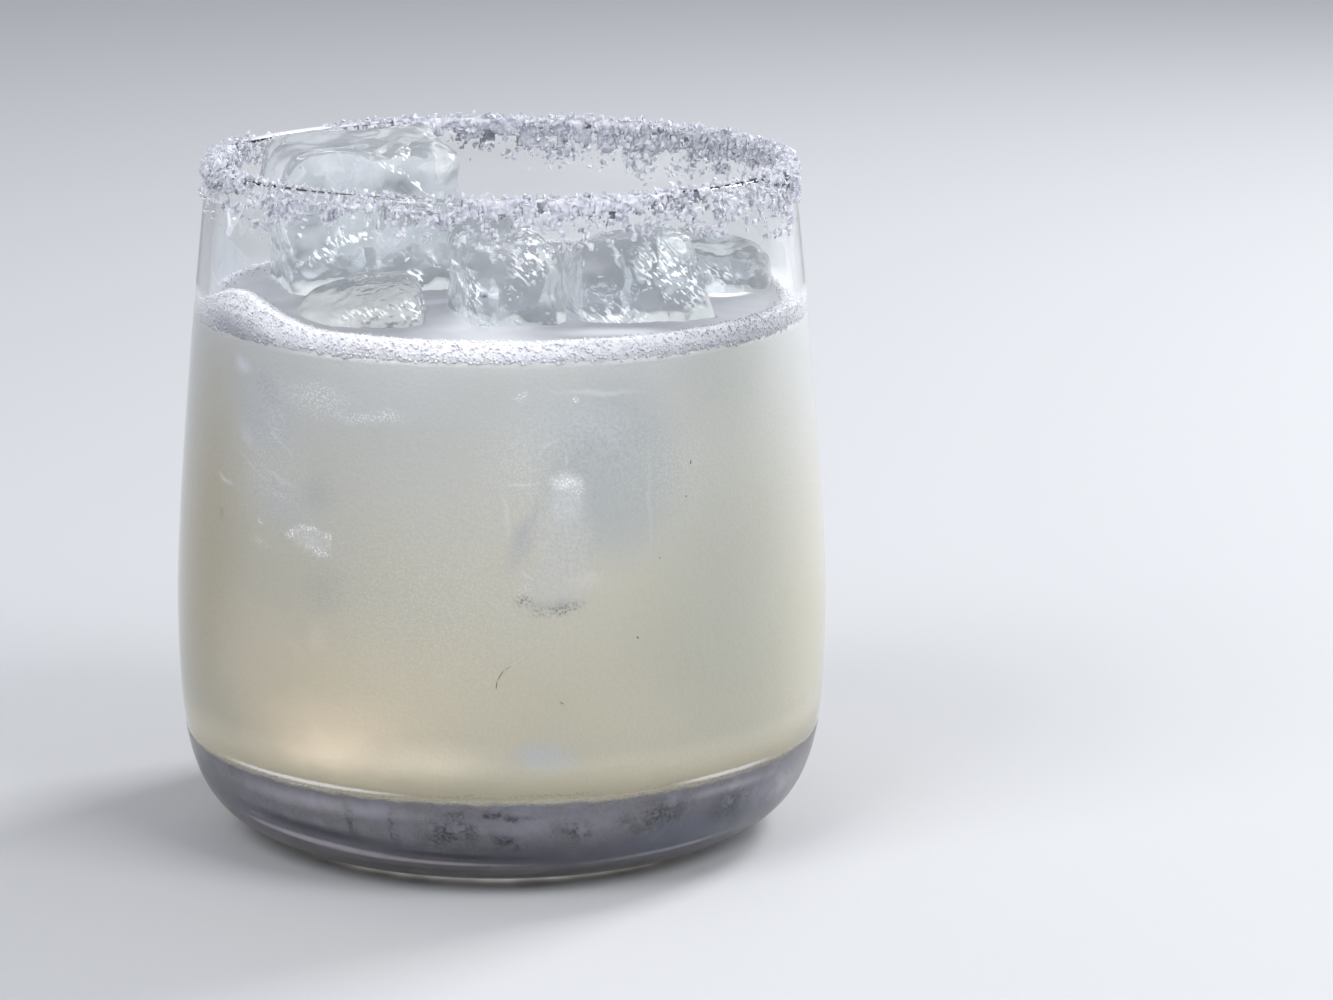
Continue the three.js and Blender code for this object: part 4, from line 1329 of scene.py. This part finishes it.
class MARGARITA_OT_froth(bpy.types.Operator):
    """Lays the froth on the drink, with its ring at the wall, its bubbles and the veil on the wall"""

    bl_idname = "margarita.froth"
    bl_label = "Build Froth"

    def execute(self, context):
        material = froth_material(context.scene.margarita_drink)
        froth = mesh_piece("froth", *self.layer())
        cut_out(froth, [ice_block("cutter", shape, CUTTER_STEPS, -0.12) for shape in ICE.values()])
        froth.data.validate()
        froth.data.shade_smooth()
        finish_piece(froth, material, ("foam",))
        self.bubbles(froth, material)
        veil = thin_sheet("froth_veil", 60, 12, (0.02, 0.07), self.veil_point)
        finish_piece(veil, film_material())
        return {"FINISHED"}

    def layer(self):
        """Points and faces of the froth: its top from the wall inwards, the ragged hem, and its underside"""
        trees = [BVHTree.FromPolygons([v.co for v in o.data.vertices], [p.vertices for p in o.data.polygons])
                 for o in bpy.data.objects if o.name.startswith("wet_ice_")]
        sides = FROTH_SIDES
        edge = inner_radius(FOAM_EDGE) + INTO_WALL + FROTH_OVERLAP
        points = []
        for part in FROTH_PARTS:
            for side in range(sides):
                turn = math.tau * side / sides
                x, y = edge * part * math.sin(turn), -edge * part * math.cos(turn)
                z = self.level(x, y, part, trees)
                out = inner_radius(z) + INTO_WALL + FROTH_OVERLAP
                pull = (out - (edge - edge * part)) / (edge * part) if part > 0.9 else 1.0
                points.append((x * pull, y * pull, z))
        top = len(points)
        points.append((0.0, 0.0, self.level(0.0, 0.0, 0.0, trees)))
        hem_start = len(points)
        for x, y, _ in points[:sides]:
            azimuth = azimuth_of(x, y)
            hem = DRINK_LEVEL + 0.25 + 0.3 * noise.noise(Vector((azimuth * 0.9, 0.5, 0.0)))
            hem += 0.28 * noise.noise(Vector((azimuth * 3.1, 3.5, 0.0)))
            reach = (inner_radius(hem) + INTO_WALL + FROTH_OVERLAP) / math.hypot(x, y)
            points.append((x * reach, y * reach, hem))
        inside = len(points)
        points += [(x * 0.985, y * 0.985, DRINK_LEVEL - FROTH_UNDER) for x, y, _ in points[hem_start:]]
        bottom = len(points)
        points.append((0.0, 0.0, DRINK_LEVEL - FROTH_UNDER))
        faces = []
        last = (len(FROTH_PARTS) - 1) * sides
        for side in range(sides):
            beside = (side + 1) % sides
            for ring in range(0, last, sides):
                a, b = ring + side, ring + beside
                faces.append((a, b, b + sides, a + sides))
            faces.append((last + side, last + beside, top))
            faces.append((hem_start + side, hem_start + beside, beside, side))
            faces.append((inside + side, inside + beside, hem_start + beside, hem_start + side))
            faces.append((bottom, inside + beside, inside + side))
        return points, faces

    def level(self, x, y, part, trees):
        """The froth's height at a place: up against the wall, in the swell and where it clings to ice"""
        z = FOAM_MIDDLE + (FOAM_EDGE - FOAM_MIDDLE) * smooth(0.9, 0.965, part)
        swell = hump(azimuth_of(x, y), FOAM_SWELL_AZIMUTH, FOAM_SWELL_SPREAD)
        z += FOAM_SWELL * smooth(0.74, 0.985, part) * swell
        place = Vector((x, y, 0.0))
        z += 0.12 * noise.noise(place * 0.25) + 0.05 * noise.noise(place * 0.8)
        if part > 0.93:
            z += 0.09 * noise.noise(Vector((x * 1.7, y * 1.7, 5.0)))
            z -= 0.25 * smooth(0.985, 1.0, part)
        near = min(tree.find_nearest(Vector((x, y, z)) * MM)[3] for tree in trees) / MM
        return z + 0.4 * math.exp(-near / 0.8)

    def bubbles(self, froth, material):
        """Bubbles stand out of the froth round the wall."""
        ground = bpy.data.objects.new("bubble_ground", froth.data.copy())
        cover = []
        for vert in ground.data.vertices:
            p = vert.co / MM
            out = math.hypot(p.x, p.y) / inner_radius(p.z)
            ring = smooth(0.93, 0.975, out) * smooth(DRINK_LEVEL - 0.3, DRINK_LEVEL + 0.2, p.z)
            cover.append(ring if out < 1.02 else 0.0)
        set_cover(ground.data, cover)
        beads = scattered("froth_bubbles", ground, [round_bead(1), round_bead(1)], material,
                          Density=2.6e6, Smallest=0.16, Largest=0.46, Lift=0.06 * MM, Seed=3)
        bpy.data.objects.remove(ground)
        finish_piece(beads, material)

    def veil_point(self, layer, across, up):
        """A point of the film of froth on the wall at the back left"""
        azimuth = -127.0 + 64.0 * across
        crest = 70.9 + 10.0 * smooth(-128.0, -88.0, azimuth) - 6.0 * smooth(-86.0, -62.0, azimuth)
        crest += 0.4 * noise.noise(Vector((azimuth * 0.2, 0.0, 0.0)))
        z = VEIL_FOOT + (crest - VEIL_FOOT) * up
        return round_glass(inner_radius(z) - layer, azimuth, z)


class MARGARITA_OT_salt(bpy.types.Operator):
    """Crusts the lip with coarse salt"""

    bl_idname = "margarita.salt"
    bl_label = "Build Salt"

    def execute(self, context):
        settings = context.scene.margarita_salt
        density, smallest, largest = settings.density, settings.smallest, settings.largest
        material = salt_material(settings)
        band = lip_band()
        coarse = self.layer("salt_grains", band, material, density, smallest, largest, 12)
        self.layer("salt_dust", band, material, density * DUST_SHARE, DUST_SMALLEST, smallest, 5)
        longest = largest * SHARD_STRETCH
        self.layer("salt_shards", band, material, density * SHARD_SHARE, SHARD_SMALLEST, longest, 8, True)
        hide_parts("salt_rim")
        self.core(band, material)
        drips = joined("brine_drips", [strand("drip", run) for run in DRIPS])
        finish_piece(drips, brine_material())
        # A thin white sheet over the bare stretch of lip is a painted highlight along it
        film = thin_sheet("brine_film", 60, 8, (0.02, 0.08), self.highlight_sheet_point)
        dried = new_material("dried_brine", Roughness=0.2, Alpha=0.9, Base_Color=(0.85, 0.86, 0.92, 1.0))[0]
        finish_piece(film, dried)
        return {"FINISHED"}

    def highlight_sheet_point(self, layer, across, over):
        """A point of the thin white sheet that paints a highlight along the stretch of lip without grains"""
        spread = 0.35 + 0.65 * math.sin(math.pi * across) ** 0.5
        around = math.radians(95.0 + (over - 0.5) * 110.0 * spread)
        lip = LIP_THICKNESS / 2
        radius = LIP_RADIUS - lip + (lip + layer) * math.cos(around)
        return round_glass(radius, -156.0 + 44.0 * across, LIP_CENTRE + (lip + layer) * math.sin(around))

    def layer(self, name, band, material, density, smallest, largest, seed, long=False):
        """One size of grains over the band, densest where the salt covers it"""
        kinds = SHARDS if long else GRAINS
        grains = [crystal(random.Random(seed + number), stretch) for number, stretch in enumerate(kinds)]
        salt = scattered(name, band, grains, material, Density=density * 1e6, Smallest=smallest,
                         Largest=largest, Lift=(0.6 if long else 0.3) * MM, Seed=seed)
        return finish_piece(salt, material)

    def core(self, band, material):
        """The crust under the grains: the band without its bare places, with a thickness"""
        band.name = "salt_crust"
        mould = bmesh.new()
        mould.from_mesh(band.data)
        layer = mould.verts.layers.float["cover"]
        thin = [f for f in mould.faces if sum(v[layer] for v in f.verts) / len(f.verts) < CRUST_COVER]
        bmesh.ops.delete(mould, geom=thin, context="FACES")
        mould.to_mesh(band.data)
        mould.free()
        wall = band.modifiers.new("wall", "SOLIDIFY")
        wall.thickness = CRUST_THICKNESS * MM
        wall.offset = -1.0
        baked(band)
        finish_piece(band, material)


class MARGARITA_OT_stage(bpy.types.Operator):
    """Sets the floor, the lamps, the surroundings and the camera"""

    bl_idname = "margarita.stage"
    bl_label = "Build Stage"

    def execute(self, context):
        scene = context.scene
        settings = scene.margarita_stage
        half = settings.floor_size / 2 / MM
        corners = [(-half, -half, 0), (half, -half, 0), (half, half, 0), (-half, half, 0)]
        floor = mesh_piece("floor", corners, [(0, 1, 2, 3)])
        colour = (*settings.floor_colour, 1.0)
        floor.data.materials.append(new_material("plain_floor", Roughness=0.6, Base_Color=colour)[0])
        for lamp in LAMPS:
            self.lamp(*lamp)
        world = bpy.data.worlds.new("surround")
        world.use_nodes = True
        background = world.node_tree.nodes["Background"]
        plug(world.node_tree, background, {"Color": SURROUND_COLOUR, "Strength": settings.surround})
        scene.world = world
        scene.view_settings.view_transform = "Standard"
        self.camera(scene)
        return {"FINISHED"}

    def lamp(self, name, place, size, power):
        """A square lamp aimed at the middle of the glass"""
        data = bpy.data.lights.new(name, "AREA")
        data.shape = "SQUARE"
        data.size = size
        data.energy = power
        obj = add_to_scene(bpy.data.objects.new(name, data))
        obj.location = place
        aim = Vector((0, 0, 0.05)) - Vector(place)
        obj.rotation_euler = aim.to_track_quat("-Z", "Y").to_euler()

    def camera(self, scene):
        """The photograph's viewing angle"""
        yaw, pitch, roll = (math.radians(a) for a in (CAMERA_YAW, CAMERA_PITCH, CAMERA_ROLL))
        ahead = Vector((math.sin(yaw) * math.cos(pitch), math.cos(yaw) * math.cos(pitch), -math.sin(pitch)))
        level = Vector((math.cos(yaw), -math.sin(yaw), 0.0))
        upright = level.cross(ahead)
        right = level * math.cos(roll) + upright * math.sin(roll)
        up = upright * math.cos(roll) - level * math.sin(roll)
        data = bpy.data.cameras.new("camera")
        data.sensor_width = SENSOR_WIDTH
        data.lens = FOCAL_PIXELS / IMAGE_WIDTH * SENSOR_WIDTH
        camera = add_to_scene(bpy.data.objects.new("camera", data))
        place = Vector((0.0, -CAMERA_DISTANCE, CAMERA_HEIGHT)) * MM
        camera.matrix_world = Matrix.Translation(place) @ Matrix((right, up, -ahead)).transposed().to_4x4()
        scene.camera = camera


class MARGARITA_PT_panel(bpy.types.Panel):
    """The settings and steps in the sidebar"""

    bl_label = "Margarita"
    bl_space_type = "VIEW_3D"
    bl_region_type = "UI"
    bl_category = "Margarita"

    def draw(self, context):
        for name in SETTINGS:
            box = self.layout.box()
            settings = getattr(context.scene, name)
            for key in settings.__annotations__:
                box.prop(settings, key)
        for step in STEPS:
            self.layout.operator("margarita." + step)


SETTINGS = {
    "margarita_glass": GlassSettings,
    "margarita_drink": DrinkSettings,
    "margarita_salt": SaltSettings,
    "margarita_stage": StageSettings,
}
STEPS = ("stage", "glass", "ice", "drink", "pulp", "sunk_ice", "froth", "salt")
CLASSES = (
    *SETTINGS.values(), MARGARITA_OT_stage, MARGARITA_OT_glass, MARGARITA_OT_ice, MARGARITA_OT_drink,
    MARGARITA_OT_pulp, MARGARITA_OT_sunk_ice, MARGARITA_OT_froth, MARGARITA_OT_salt, MARGARITA_PT_panel,
)


def register():
    for cls in CLASSES:
        bpy.utils.register_class(cls)
    for name, cls in SETTINGS.items():
        setattr(bpy.types.Scene, name, bpy.props.PointerProperty(type=cls))


def unregister():
    for name in SETTINGS:
        delattr(bpy.types.Scene, name)
    for cls in reversed(CLASSES):
        bpy.utils.unregister_class(cls)


def main():
    """Builds every piece in order."""
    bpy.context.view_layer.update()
    register()
    for step in STEPS:
        getattr(bpy.ops.margarita, step)()


if __name__ == "__main__":
    main()
